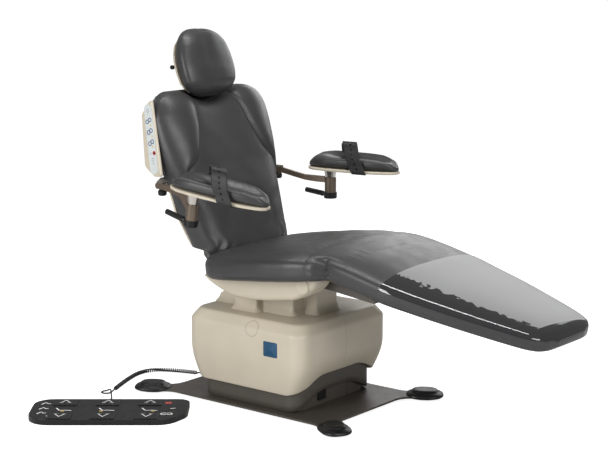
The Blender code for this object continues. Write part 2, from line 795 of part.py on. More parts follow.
def make_neck(mats):
    """A ribbed sleeve on the deck: side blocks, a front nose and a tail that slopes down to the rear."""
    r = NECK_ROUND
    half = [(NECK_HALF_X, -NECK_FRONT, r), (NECK_HALF_X, NECK_BLOCK_Y, r), (NECK_BLOCK_X, NECK_BLOCK_Y, r),
            (NECK_BLOCK_X, NECK_REAR, r), (NECK_TAIL_X, NECK_REAR, r), (NECK_TAIL_X, NECK_TAIL_Y, r)]
    corners = half + [(-x, y, radius) for x, y, radius in half[::-1]]
    cavity = rounded_rect(NECK_CAVITY_X, NECK_CAVITY_Y, r)
    neck = add_part("neck_shroud", outline([rounded(corners), cavity], COVER_DECK_Z + CLEAR, NECK_TOP),
                    mats["beige"])
    margin = NECK_TAIL_Y
    slope = outline([[(NECK_REAR, NECK_TOP + CLEAR), (NECK_TAIL_Y, NECK_TAIL_TOP),
                      (NECK_TAIL_Y + margin, NECK_TAIL_TOP),
                      (NECK_TAIL_Y + margin, NECK_TOP + margin), (NECK_REAR, NECK_TOP + margin)]],
                    -NECK_BLOCK_X * 2, NECK_BLOCK_X * 2, "YZ")
    boolean(neck, add_cutter("neck_slope", slope))
    nose = rounded([(NECK_NOSE_X, -NECK_NOSE_Y, r), (NECK_NOSE_X, -NECK_FRONT + r, 0),
                    (-NECK_NOSE_X, -NECK_FRONT + r, 0), (-NECK_NOSE_X, -NECK_NOSE_Y, r)])
    boolean(neck, add_cutter("neck_nose", outline([nose], COVER_DECK_Z + CLEAR, NECK_TOP)), "UNION")


# Seat and legs

def make_seat_frame(mats, seat_plane):
    """Plate under the seat, with lugs down to the tilt shaft and arms back to the back hinge."""
    top = -CLEAR
    low = top - SEAT_PLATE_THICK
    plate = block((-SEAT_PLATE_HALF, -SEAT_PLATE_FRONT, low), (SEAT_PLATE_HALF, SEAT_PLATE_REAR, top))
    frame = add_part("seat_frame", plate, mats["frame"], seat_plane)
    inner = column_half(2) + RUN
    middle = low + SEAT_PLATE_THICK / 2
    lug_outline = rounded([(-LUG_RADIUS, TILT_Z - LUG_RADIUS, LUG_RADIUS * 0.98),
                           (LUG_RADIUS, TILT_Z - LUG_RADIUS, LUG_RADIUS * 0.98),
                           (LUG_RADIUS * 1.5, SEAT_Z + middle, 0), (-LUG_RADIUS * 1.5, SEAT_Z + middle, 0)])
    hole = circle((0.0, TILT_Z), SHAFT_RADIUS + CLEAR)
    hinge_hole = circle((BACK_HINGE_Y, BACK_HINGE_Z), HINGE_PIN_RADIUS + CLEAR)
    plate_rear = (SEAT_PLATE_REAR * math.cos(SEAT_PITCH),
                  SEAT_Z - SEAT_PLATE_REAR * math.sin(SEAT_PITCH) + middle)
    under_rear = seat_line(SEAT_REAR) - SEAT_PLATE_THICK
    arm_outline = arc((BACK_HINGE_Y, BACK_HINGE_Z), HINGE_EYE, math.radians(-70), math.radians(150), 8)
    arm_outline += [(SEAT_REAR + SEAT_PLATE_THICK, under_rear),
                    (plate_rear[0] - SEAT_PLATE_THICK, plate_rear[1]),
                    (plate_rear[0] - 2 * SEAT_PLATE_THICK, plate_rear[1] - SEAT_PLATE_THICK),
                    (SEAT_REAR, under_rear - SEAT_PLATE_THICK)]
    outer = HINGE_LUG_X + HINGE_LUG_THICK + CLEAR
    pieces = []
    for side in (-1, 1):
        spans = [sorted((side * inner, side * (inner + LUG_THICK))),
                 sorted((side * outer, side * (outer + HINGE_LUG_THICK)))]
        pieces.append(outline([lug_outline, hole], *spans[0], "YZ"))
        pieces.append(outline([arm_outline, hinge_hole], *spans[1], "YZ"))
    boolean(frame, add_cutter("seat_lugs", joined(pieces)), "UNION")
    reach = inner + LUG_THICK + CLEAR
    shaft = rod((-reach, 0.0, TILT_Z), (reach, 0.0, TILT_Z), SHAFT_RADIUS)
    add_part("tilt_shaft", shaft, mats["steel"], smooth=40)


def seat_line(y):
    """Height of the seat cushion's underside at a place along the chair."""
    return SEAT_Z - y * math.tan(SEAT_PITCH)


def make_pan(mats):
    """A boat shaped cheek on each side of the seat frame, with a pivot boss at its front."""
    keel = ((0.175, 0.0), (0.150, 0.019), (0.100, 0.046), (0.039, 0.0700), (-0.081, 0.0790),
            (-0.196, 0.0750),
            (-0.253, 0.0580), (-0.290, 0.0350), (-0.304, 0.0140), (-0.306, 0.0))
    inner = SEAT_PLATE_HALF + CLEAR
    middle = (keel[0][0] + keel[-1][0]) / 2
    edge = 1 - PAN_ROUND / PAN_WIDTH
    sections = ((0.0, 1.0), (edge, 1.0), ((1 + edge) / 2, 0.97), (1.0, 0.91))
    for name, side in (("pan_right", -1), ("pan_left", 1)):
        rows = []
        for share, size in sections:
            row = [(middle + (y - middle) * size, depth * size) for y, depth in keel]
            x = side * (inner + PAN_WIDTH * share)
            rows.append([(x, y, seat_line(y) - CLEAR - depth) for y, depth in row])
        cheek = add_part(name, grid(rows, caps=True), mats["beige"], smooth=35)
        face = side * (inner + PAN_WIDTH)
        boss = rod((face - side * PAN_ROUND, KNEE_Y, KNEE_Z), (face + side * BOSS_PROUD, KNEE_Y, KNEE_Z),
                   BOSS_RADIUS)
        boolean(cheek, add_cutter(f"{name}_boss", boss), "UNION")
        hole = rod((side * (inner - PAN_ROUND), KNEE_Y, KNEE_Z),
                   (side * (inner + PAN_WIDTH / 2), KNEE_Y, KNEE_Z), SHAFT_RADIUS + CLEAR)
        boolean(cheek, add_cutter(f"{name}_hole", hole))


def pad_rows(stations, length, half, thick, rear, under, lean, grow=0.0, start=0.0):
    """Rings along a seat or leg pad: stations give share of length, width, underside, top and crown."""
    rows = []
    for share, wide, low, high, crown in stations:
        if share < start:
            continue
        tip = grow if share == 1.0 else 0.0
        ring = pad_ring(half * wide + grow, under + thick * low - grow, under + thick * high + grow,
                        thick * crown, under=9.0)
        near = 1.0 - share if stations is SEAT_STATIONS else share
        fade = max(0.0, 1.0 - near / LEAN_SHARE)
        rows.append([(x, rear - length * share - tip + lean * (z - under) * fade, z) for x, z in ring])
    return rows


SEAT_STATIONS = ((0.000, 0.74, 0.10, 0.70, -0.03), (0.045, 0.87, 0.02, 0.86, -0.05),
                 (0.135, 0.95, 0.00, 0.92, -0.06), (0.290, 0.99, 0.00, 0.96, -0.04),
                 (0.520, 1.00, 0.00, 0.99, 0.00), (0.750, 0.98, 0.00, 1.00, 0.04),
                 (0.905, 0.93, 0.00, 0.96, 0.06), (0.975, 0.88, 0.01, 0.88, 0.05),
                 (1.000, 0.83, 0.06, 0.72, 0.03))
LEG_STATIONS = ((0.000, 0.930, 0.06, 0.84, 0.03), (0.020, 0.975, 0.01, 0.98, 0.05),
                (0.070, 0.995, 0.00, 1.03, 0.07), (0.270, 1.000, 0.00, 0.97, 0.09),
                (0.420, 0.945, 0.00, 0.91, 0.09), (0.570, 0.868, 0.00, 0.87, 0.09),
                (0.700, 0.785, 0.00, 0.82, 0.08), (0.810, 0.705, 0.00, 0.78, 0.07),
                (0.900, 0.630, 0.00, 0.74, 0.06), (0.955, 0.555, 0.02, 0.69, 0.04),
                (0.985, 0.450, 0.08, 0.60, 0.02), (1.000, 0.310, 0.18, 0.48, 0.00))


def make_seat_cushion(mats, seat_plane):
    rows = pad_rows(SEAT_STATIONS, SEAT_LENGTH, SEAT_HALF_WIDTH, SEAT_THICK, SEAT_REAR, 0.0, SEAT_LEAN)
    add_part("seat_cushion", grid(rows, caps=True), mats["vinyl"], seat_plane, smooth=40)


def make_leg_section(mats, leg_plane):
    sizes = (LEG_LENGTH, LEG_PAD_HALF, LEG_THICK, -LEG_REAR, LEG_UNDER, LEG_LEAN)
    add_part("leg_cushion", grid(pad_rows(LEG_STATIONS, *sizes), caps=True), mats["vinyl"], leg_plane,
             smooth=40)

    rows = pad_rows(LEG_STATIONS, *sizes, grow=COVER_SLACK, start=FOOT_COVER_FROM)
    film = bmesh.new()
    mesh = grid(rows, caps=True)
    film.from_mesh(mesh)
    bpy.data.meshes.remove(mesh)
    film.faces.ensure_lookup_table()
    film.faces.remove(film.faces[len(film.faces) - 2])
    cover = add_part("foot_cover", mesh_from_bmesh(film, "foot_cover"), mats["film"], leg_plane, smooth=40)
    solidify(cover, COVER_FILM, 1.0)

    top = LEG_UNDER - COVER_SLACK - COVER_FILM - CLEAR
    low = top - LEG_PLATE_THICK
    rear = -LEG_REAR - 2 * LEG_PLATE_THICK
    plate = block((-LEG_PLATE_HALF, rear - LEG_PLATE_LENGTH, low), (LEG_PLATE_HALF, rear, top))
    frame = add_part("leg_frame", plate, mats["frame"], leg_plane)
    pieces = []
    arm = arc((0.0, 0.0), KNEE_EYE, math.radians(-90), math.radians(90), 8)
    arm += [(rear, KNEE_EYE), (rear, (low + top) / 2), (-LEG_ARM_REACH, (low + top) / 2),
            (-LEG_ARM_REACH, 0.0)]
    hole = circle((0.0, 0.0), SHAFT_RADIUS + CLEAR)
    for side in (-1, 1):
        span = sorted((side * LEG_ARM_X, side * (LEG_ARM_X + LEG_ARM_THICK)))
        pieces.append(outline([arm, hole], *span, "YZ"))
    boolean(frame, add_cutter("leg_arms", joined(pieces), leg_plane), "UNION")
    reach = SEAT_PLATE_HALF + PAN_WIDTH / 2 - CLEAR
    add_part("knee_shaft", rod((-reach, 0.0, 0.0), (reach, 0.0, 0.0), SHAFT_RADIUS), mats["steel"],
             leg_plane, smooth=40)


# Back

BACK_WIDTH = ((0.00, 0.56), (0.02, 0.65), (0.055, 0.73), (0.10, 0.79), (0.145, 0.83), (0.25, 0.875),
              (0.40, 0.91),
              (0.64, 0.98),
              (0.773, 1.012), (0.858, 1.018), (0.92, 0.965), (0.96, 0.885), (1.00, 0.73))
BACK_ROWS = (0.0, 0.02, 0.055, 0.10, 0.25, 0.40, 0.55, 0.68, 0.78, 0.86, 0.93, 0.975, 1.0)
BACK_SPREAD = (-1.0, -0.94, -0.80, -0.62, -0.44, -0.2, 0.2, 0.44, 0.62, 0.80, 0.94, 1.0)
BACK_SHARE = ((0.0, 0.93), (0.12, 1.0), (0.525, 0.94), (0.762, 0.74), (0.953, 0.45), (1.0, 0.37))
BACK_DOME = ((0.0, 0.62), (0.02, 0.86), (0.06, 1.0), (0.81, 1.0), (0.905, 0.94), (0.967, 0.72), (1.0, 0.25))
BACK_BOLSTER = ((0.0, 0.0), (0.29, 0.3), (0.57, 1.0), (1.0, 1.0))
BACK_LINE = ((0.0, BACK_TUCK), (0.055, BACK_TUCK), (0.10, BACK_REAR), (1.0, BACK_REAR))
BACK_SIDE = ((0.0, 1.0), (0.80, 1.0), (0.94, 0.84), (1.0, 0.42))


def back_top(s):
    """Top edge across the back: highest over the bolsters, dipped in the middle."""
    hollow = max(0.0, 1 - (s / 0.72) ** 2) ** 2
    fall = 0.3 * max(0.0, (abs(s) - 0.8) / 0.2) ** 2
    return BACK_TOP - BACK_DIP * (hollow + fall)


def back_rows():
    """Rings up the back cushion: a bolstered front, a flat rear, and a foot tucked in front of the hinge."""
    rows = []
    for f in BACK_ROWS:
        half = BACK_HALF * between(BACK_WIDTH, f)
        dome = between(BACK_DOME, f)
        front = (BACK_DEPTH * between(BACK_SHARE, f) + BACK_REAR) * dome
        bolster = BOLSTER * between(BACK_BOLSTER, f) * dome
        line = between(BACK_LINE, f)
        ring, rear = [], []
        for s in BACK_SPREAD:
            depth = front * between(BACK_SIDE, abs(s)) + bolster * math.exp(-((abs(s) - 0.74) / 0.17) ** 2)
            z = BACK_FOOT + f * (back_top(s) - BACK_FOOT)
            ring.append((half * s, min(BACK_REAR - depth, line - BACK_EDGE), z))
            rear.append((half * s * 0.985, line, z))
        rows.append(ring + rear[-2:0:-1])
    return rows


def make_back(mats, back):
    add_part("back_cushion", grid(back_rows(), caps=True, strips=True), mats["vinyl"], back, smooth=40)

    near = BACK_REAR + CLEAR
    far = near + FRAME_THICK
    frame = add_part("back_frame", block((-FRAME_HALF, near, FRAME_FOOT), (FRAME_HALF, far, FRAME_TOP)),
                     mats["frame"], back)
    lug = arc((0.0, 0.0), HINGE_EYE, math.radians(150), math.radians(345), 9)
    lug += [(far, LUG_BEND), (far - FRAME_THICK / 4, FRAME_FOOT + FRAME_THICK),
            (near + FRAME_THICK / 4, FRAME_FOOT + FRAME_THICK), (near + FRAME_THICK / 4, LUG_BEND)]
    pieces = []
    for side in (-1, 1):
        span = sorted((side * HINGE_LUG_X, side * (HINGE_LUG_X + HINGE_LUG_THICK)))
        pieces.append(grid([[(x, y, z) for y, z in lug] for x in span], caps=True))
    tabs = []
    for arm in ARM_SIDES:
        foot = bracket_foot(arm["lower"])
        tab_near = back_depth(near, foot + ARM_BRACKET_THICK)
        tab_far = back_depth(far, foot)
        inner = FRAME_HALF - FRAME_THICK
        outer = arm["x"] + ARM_BRACKET_HALF
        front = arm["y"] - ARM_BRACKET_HALF
        rear = arm["y"] + ARM_BRACKET_HALF
        tab = [(inner, tab_near), (BACK_HALF - FRAME_THICK, tab_near), (arm["x"] - ARM_BRACKET_HALF, front),
               (outer, front), (outer, rear), (BACK_HALF - FRAME_THICK, max(tab_far, rear)),
               (inner, tab_far)]
        tabs.append(outline([[(arm["side"] * x, y) for x, y in tab]], foot, foot + ARM_BRACKET_THICK))
    boolean(frame, add_cutter("bracket_tabs", joined(tabs)), "UNION")
    boolean(frame, add_cutter("back_lugs", joined(pieces), back), "UNION")
    reach = HINGE_LUG_X + 2 * HINGE_LUG_THICK + CLEAR
    boolean(frame, add_cutter("pin_bore", rod((-reach, 0.0, 0.0), (reach, 0.0, 0.0),
                                              HINGE_PIN_RADIUS + CLEAR), back))
    bar_near = far + CLEAR + RUN
    channel = HEAD_BAR_HALF + RUN
    rails = []
    for side in (-1, 1):
        low, high = sorted((side * channel, side * (channel + FRAME_THICK)))
        rails.append(block((low, far - FRAME_THICK / 4, HEAD_BAR_FOOT),
                           (high, bar_near + HEAD_BAR_THICK, FRAME_TOP - FRAME_THICK)))
    rails.append(block((-POD_OUT + POD_SKIN + CLEAR, near + CLEAR, POD_TAB_FOOT),
                        (-FRAME_HALF + FRAME_THICK, far - CLEAR, POD_TAB_TOP)))
    boolean(frame, add_cutter("back_rails", joined(rails), back), "UNION")
    for arm in ARM_SIDES:
        foot = bracket_foot(arm["lower"])
        x = arm["side"] * arm["x"]
        hole = rod((x, arm["y"], foot - ARM_BRACKET_THICK), (x, arm["y"], foot + 2 * ARM_BRACKET_THICK),
                   ARM_BOLT_RADIUS + CLEAR)
        boolean(frame, add_cutter(f"bracket_hole_{arm['name']}", hole))
    add_part("back_hinge_pin", rod((-reach, 0.0, 0.0), (reach, 0.0, 0.0), HINGE_PIN_RADIUS), mats["steel"],
             back, smooth=40)
    make_back_shell(mats, back, near)


def arm_local_y():
    """The arm pivot's place in the back's own frame, measured to the rear."""
    return (ARM_Y - BACK_HINGE_Y - ARM_BRACKET_FOOT * math.sin(BACK_LEAN)) / math.cos(BACK_LEAN)


def back_up(rearward, height):
    """Height in the back's own frame of a point at a depth there and at a world height."""
    return (height - BACK_HINGE_Z + rearward * math.sin(BACK_LEAN)) / math.cos(BACK_LEAN)


def back_depth(rearward, height):
    """World place to the rear of a point at a depth in the back's own frame and at a world height."""
    return BACK_HINGE_Y + rearward * math.cos(BACK_LEAN) + back_up(rearward, height) * math.sin(BACK_LEAN)


def bracket_foot(lower):
    """World height of the underside of an arm bracket, lower by a given amount than the right one."""
    return BACK_HINGE_Z + ARM_BRACKET_FOOT * math.cos(BACK_LEAN) - arm_local_y() * math.sin(BACK_LEAN) - lower


def make_back_shell(mats, back, near):
    """A tray shaped moulding behind the frame, open to the front, notched for bracket and headrest bar."""
    shares = (0.0, 0.06, 0.25, 0.5, 0.68, 0.8, 0.9, 0.97, 1.0)
    half_line = []
    for f in shares:
        taper = SHELL_TAPER * max(0.0, 1 - f / SHELL_TAPER_SHARE) ** 2
        half_line.append((BACK_HALF * between(BACK_WIDTH,
                                              max(f, SHELL_TAPER_SHARE / 2)) - SHELL_INSET - taper,
                          SHELL_FOOT + f * (BACK_TOP - BACK_DIP - SHELL_FOOT)))
    loop = half_line + [(-x, z) for x, z in half_line[::-1]]
    rows = []
    for share, depth in ((1.0, 0.0), (1.0, 0.16), (0.84, 0.72), (0.70, 1.0)):
        middle = (SHELL_FOOT + BACK_TOP) / 2
        rows.append([(x * share, near + SHELL_DEPTH * depth, middle + (z - middle) * share) for x,
                     z in loop])
    shape = bmesh.new()
    mesh = grid(rows, flip=True)
    shape.from_mesh(mesh)
    bpy.data.meshes.remove(mesh)
    shape.verts.ensure_lookup_table()
    count = len(loop)
    rear = shape.faces.new([shape.verts[i] for i in range(len(shape.verts) - count, len(shape.verts))])
    rear.normal_update()
    if rear.normal.y < 0:
        rear.normal_flip()
    shell = add_part("back_shell", mesh_from_bmesh(shape, "back_shell"), mats["beige"], back, smooth=35)
    solidify(shell, SHELL_WALL)
    slack = RUN + CLEAR
    room = 2 * slack
    slots = []
    for arm in ARM_SIDES:
        foot = bracket_foot(arm["lower"])
        outer, inner = sorted((arm["side"] * BACK_HALF * 2, arm["side"] * FRAME_HALF / 2))
        slots.append(block((outer, 0.0, back_up(near, foot) - room),
                           (inner, near + FRAME_THICK + room,
                            back_up(near + FRAME_THICK, foot + ARM_BRACKET_THICK) + room)))
    lug_reach = HINGE_LUG_X + HINGE_LUG_THICK + SHELL_WALL
    lug_slot = block((-lug_reach, 0.0, 0.0), (lug_reach, near + FRAME_THICK + slack,
                                              FRAME_FOOT + FRAME_THICK))
    mouth_low = near + FRAME_THICK
    pod_slot = block((-BACK_HALF * 2, 0.0, POD_TAB_FOOT - slack),
                     (-FRAME_HALF / 2, mouth_low + slack, POD_TAB_TOP + slack))
    mouth = block((-HEAD_BAR_HALF - slack, mouth_low, BACK_TOP - 3 * BACK_DIP),
                  (HEAD_BAR_HALF + slack, mouth_low + HEAD_BAR_THICK + room, BACK_TOP + BACK_DIP))
    boolean(shell, add_cutter("shell_slot", joined([*slots, mouth, lug_slot, pod_slot]), back))

    pod_plane = axis_empty("pod_plane", (0.0, 0.0, 0.0), (POD_TURN, 0.0, 0.0), back)
    front = near + CLEAR
    pod_outline = [(front, POD_FOOT, 0.0), (POD_REAR - POD_RADIUS, POD_FOOT, 0.0),
                   (POD_REAR, POD_FOOT + POD_RADIUS, POD_RADIUS / 2),
                   (POD_REAR_TOP, POD_TOP - POD_RADIUS, POD_RADIUS / 2),
                   (POD_REAR_TOP - POD_RADIUS, POD_TOP, POD_RADIUS / 2),
                   (front, POD_TOP, 0.0)]
    pod = add_part("keypad_pod", outline([rounded(pod_outline)], -POD_OUT, -POD_IN, "YZ"), mats["beige"],
                   pod_plane, smooth=35)
    bevel(pod, POD_RADIUS / 6, 2)
    relief = block((-POD_OUT + POD_SKIN, -SHELL_DEPTH, 0.0),
                   (0.0, near + SHELL_DEPTH + RUN, BACK_TOP + POD_RADIUS))
    boolean(pod, add_cutter("pod_relief", relief, back))
    half_width = KEYPAD_WIDTH / 2
    half_height = KEYPAD_HEIGHT / 2
    end = half_width * 0.98
    oval = rounded([(-half_width, -half_height, end), (half_width, -half_height, end),
                    (half_width, half_height, end), (-half_width, half_height, end)], 5)
    keypad_plane = axis_empty("keypad_plane", (0.0, KEYPAD_Y, KEYPAD_Z), (KEYPAD_TURN, 0.0, 0.0), pod_plane)
    face = -POD_OUT - CLEAR
    add_part("keypad_overlay", outline([oval], face - KEYPAD_THICK, face, "YZ"), mats["keypad"],
             keypad_plane)


# Headrest

HEAD_STATIONS = ((0.00, 0.46, 0.30), (0.03, 0.66, 0.62), (0.09, 0.82, 0.88), (0.20, 0.955, 1.0),
                 (0.38, 1.00, 1.0),
                 (0.56, 0.985, 1.0), (0.71, 0.915, 1.0), (0.84, 0.78, 0.92), (0.93, 0.585, 0.74),
                 (0.98, 0.40, 0.50),
                 (1.00, 0.26, 0.28))


def make_headrest(mats, back):
    axis = axis_empty("headrest_axis", (0.0, HEAD_PIVOT_Y, HEAD_PIVOT_Z), (-HEAD_LEAN, 0.0, 0.0), back)
    head = axis_empty("headrest_plane", (0.0, -HEAD_PIVOT_Y, -HEAD_PIVOT_Z), (0.0, 0.0, 0.0), axis)
    rows = []
    for f, wide, deep in HEAD_STATIONS:
        half = HEAD_HALF * wide
        ring = pad_ring(half, -HEAD_REAR, HEAD_FRONT * deep - HEAD_REAR * (1 - deep), HEAD_CROWN * deep,
                        RING, HEAD_SQUARENESS)
        rows.append([(x, -y, HEAD_FOOT + HEAD_HEIGHT * f) for x, y in ring])
    add_part("headrest_cushion", grid(rows, caps=True), mats["vinyl"], head, smooth=40)

    shell_near = HEAD_REAR + CLEAR
    shell_rows = []
    for share, depth in ((0.90, 0.0), (0.87, 0.6), (0.74, 1.0)):
        y = shell_near + HEAD_SHELL_THICK * depth
        left = [(-HEAD_HALF * wide * share, y, HEAD_FOOT + HEAD_HEIGHT * (0.5 + (f - 0.5) * share)) for f,
                wide, _ in HEAD_STATIONS]
        shell_rows.append(left + [(-x, y, z) for x, y, z in left[::-1]])
    shell = add_part("headrest_shell", grid(shell_rows, caps=True), mats["beige"], head, smooth=40)
    ear_in = HEAD_BAR_HALF + RUN
    ears = []
    for side in (-1, 1):
        span = sorted((side * ear_in, side * (ear_in + HEAD_EAR_THICK)))
        ear = arc((HEAD_PIVOT_Y, HEAD_PIVOT_Z), KNUCKLE_RADIUS, -math.pi / 2, math.pi / 2, 6)
        ear += [(shell_near + HEAD_SHELL_THICK / 2, HEAD_PIVOT_Z + 2 * KNUCKLE_RADIUS),
                (shell_near + HEAD_SHELL_THICK / 2, HEAD_PIVOT_Z - 2 * KNUCKLE_RADIUS)]
        ears.append(outline([ear, circle((HEAD_PIVOT_Y, HEAD_PIVOT_Z), HEAD_ROD_RADIUS + CLEAR)], *span,
                            "YZ"))
    boolean(shell, add_cutter("headrest_ears", joined(ears), head), "UNION")

    bar_near = BACK_REAR + FRAME_THICK + 2 * CLEAR + RUN
    bar_side = [(bar_near, HEAD_BAR_FOOT), (bar_near + HEAD_BAR_THICK, HEAD_BAR_FOOT),
                (bar_near + HEAD_BAR_THICK, HEAD_BAR_BEND)]
    bar_side += [(HEAD_PIVOT_Y + KNUCKLE_RADIUS * 0.9, HEAD_PIVOT_Z - 2.2 * KNUCKLE_RADIUS)]
    bar_side += arc((HEAD_PIVOT_Y, HEAD_PIVOT_Z), KNUCKLE_RADIUS, 0.0, math.pi, 8)
    bar_side += [(HEAD_PIVOT_Y - KNUCKLE_RADIUS, HEAD_PIVOT_Z - KNUCKLE_RADIUS),
                 (bar_near, HEAD_BAR_BEND + KNUCKLE_RADIUS)]
    hole = circle((HEAD_PIVOT_Y, HEAD_PIVOT_Z), HEAD_ROD_RADIUS + CLEAR)
    add_part("headrest_bar", outline([bar_side, hole], -HEAD_BAR_HALF, HEAD_BAR_HALF, "YZ"), mats["steel"],
             back)

    length = HEAD_KNOB_X + HEAD_BAR_HALF + HEAD_EAR_THICK
    start = HEAD_KNOB_X + HEAD_KNOB_LENGTH
    knob = turned([(0.0, start), (HEAD_KNOB_RADIUS * 0.8, start),
                   (HEAD_KNOB_RADIUS, start - HEAD_KNOB_LENGTH * 0.2),
                   (HEAD_KNOB_RADIUS, HEAD_KNOB_X), (HEAD_ROD_RADIUS, HEAD_KNOB_X),
                   (HEAD_ROD_RADIUS, HEAD_KNOB_X - length), (0.0, HEAD_KNOB_X - length)],
                  mats["black"], "headrest_knob", back, (0.0, HEAD_PIVOT_Y, HEAD_PIVOT_Z), 14)
    knob.rotation_euler = (0.0, -math.pi / 2, 0.0)


# Arms

TRAY_PLAN = ((0.0, 0.30), (0.03, 0.56), (0.10, 0.82), (0.24, 0.97), (0.42, 1.00), (0.62, 0.97),
             (0.80, 0.84), (0.92, 0.62),
             (0.98, 0.40), (1.0, 0.22))


def bar_points(arm, reach):
    """Middle line of an arm bar in its own upright plane: level at the pivot, then down to the sleeve."""
    top = bracket_foot(arm["lower"]) - CLEAR - BAR_HALF_HEIGHT
    return [(-BAR_TAIL, top)] + [(along * reach, top - fall * arm["drop"]) for along, fall in arm["falls"]]


def make_arm(mats, arm):
    """One arm: bar with sleeve on the swing axis, clamp knob, post with tray, pad and strap, clamp lever."""
    name, side = arm["name"], arm["side"]
    swing = axis_empty(f"arm_swing_{name}", (side * arm["x"], arm["y"], 0.0))
    offset = Vector((side * (POST_X - arm["x"]), POST_Y - arm["y"]))
    reach = offset.length
    heading = math.atan2(offset.y, offset.x)
    middle = bar_points(arm, reach)
    above = [(s, z + BAR_HALF_HEIGHT) for s, z in middle]
    below = [(s, z - BAR_HALF_HEIGHT) for s, z in middle[:-1]]
    sleeve_top = SLEEVE_FOOT + SLEEVE_HEIGHT
    web = min(middle[-1][1] - BAR_HALF_HEIGHT, sleeve_top - BAR_WEB)
    below += [(reach - 2 * BAR_WEB - SLEEVE_RADIUS, middle[-1][1] - BAR_HALF_HEIGHT),
              (reach - BAR_WEB / 2 - SLEEVE_RADIUS, web), (reach, web)]
    nose = arc(middle[0], BAR_HALF_HEIGHT, math.pi / 2, 1.5 * math.pi, 6)
    bar_mesh = outline([nose + below[1:] + above[:0:-1]], -BAR_THICK / 2, BAR_THICK / 2, "XZ")
    bar_mesh.transform(Matrix.Rotation(heading, 4, "Z"))
    bar = add_part(f"arm_bar_{name}", bar_mesh, mats["bar"], swing)
    post = axis_empty(f"arm_post_axis_{name}", (offset.x, offset.y, SLEEVE_FOOT + SLEEVE_HEIGHT / 2),
                      (arm["lean"], 0.0, 0.0), swing)
    up = SLEEVE_HEIGHT / 2
    sleeve = rod((0.0, 0.0, -up), (0.0, 0.0, up), SLEEVE_RADIUS, name="sleeve")
    boolean(bar, add_cutter(f"sleeve_{name}", sleeve, post), "UNION")
    bore = rod((0.0, 0.0, -2 * up), (0.0, 0.0, 2 * up), POST_RADIUS + CLEAR + CLEAR)
    boolean(bar, add_cutter(f"sleeve_bore_{name}", bore, post))
    cone_room = rod((0.0, 0.0, up), (0.0, 0.0, up + 2 * arm["cone"]), CONE_TOP_RADIUS + RUN)
    boolean(bar, add_cutter(f"cone_room_{name}", cone_room, post))
    bar_top = middle[0][1] + BAR_HALF_HEIGHT
    bolt_hole = rod((0.0, 0.0, bar_top - 4 * BAR_HALF_HEIGHT), (0.0, 0.0, bar_top + BAR_HALF_HEIGHT),
                    ARM_BOLT_RADIUS + CLEAR)
    boolean(bar, add_cutter(f"bolt_hole_{name}", bolt_hole, swing))

    knob_top = bar_top - 2 * BAR_HALF_HEIGHT - CLEAR
    bolt_top = bar_top + ARM_BRACKET_THICK
    turned([(0.0, bolt_top), (ARM_BOLT_RADIUS, bolt_top), (ARM_BOLT_RADIUS, knob_top),
            (ARM_KNOB_RADIUS * 0.7, knob_top),
            (ARM_KNOB_RADIUS, knob_top - ARM_KNOB_HEIGHT * 0.3),
            (ARM_KNOB_RADIUS * 0.92, knob_top - ARM_KNOB_HEIGHT * 0.85),
            (ARM_KNOB_RADIUS * 0.7, knob_top - ARM_KNOB_HEIGHT), (0.0, knob_top - ARM_KNOB_HEIGHT)],
           mats["black"], f"arm_knob_{name}", swing, sides=14)

    cone_top = up + CLEAR + arm["cone"]
    foot = -up - COLLAR_HEIGHT * 0.7
    turned([(0.0, cone_top), (CONE_TOP_RADIUS, cone_top), (CONE_TOP_RADIUS, cone_top - arm["cone"] * 0.12),
            (CONE_FOOT_RADIUS, up + CLEAR), (POST_RADIUS, up + CLEAR), (POST_RADIUS, foot), (0.0, foot)],
           mats["polished"], f"arm_post_{name}", post)

    collar_top = -up - CLEAR
    collar = turned([(POST_RADIUS + CLEAR + CLEAR, collar_top), (COLLAR_RADIUS, collar_top),
                     (COLLAR_RADIUS, collar_top - COLLAR_HEIGHT * 0.9),
                     (COLLAR_RADIUS * 0.94, collar_top - COLLAR_HEIGHT),
                     (0.0, collar_top - COLLAR_HEIGHT), (0.0, foot - CLEAR),
                     (POST_RADIUS + CLEAR + CLEAR, foot - CLEAR),
                     (POST_RADIUS + CLEAR + CLEAR, collar_top)], mats["black"], f"arm_lever_{name}", post)
    direction = Vector((0.0, math.cos(LEVER_RISE), math.sin(LEVER_RISE)))
    root = Vector((0.0, 0.0, collar_top - COLLAR_HEIGHT / 2))
    start = root + direction * (COLLAR_RADIUS - SKIRT_WALL)
    neck = root + direction * (COLLAR_RADIUS + LEVER_LENGTH * 0.16)
    grip = rod(start, neck, LEVER_RADIUS * 0.6, LEVER_RADIUS, 12)
    boolean(collar, add_cutter(f"lever_neck_{name}", grip, post), "UNION")
    tip = rod(neck - direction * SKIRT_WALL, root + direction * (COLLAR_RADIUS + LEVER_LENGTH),
              LEVER_RADIUS, LEVER_RADIUS * 0.94, 12)
    boolean(collar, add_cutter(f"lever_grip_{name}", tip, post), "UNION")

    board = axis_empty(f"arm_board_{name}", (0.0, 0.0, cone_top + CLEAR), (0.0, 0.0, arm["yaw"]), post)
    make_arm_board(mats, arm, board)


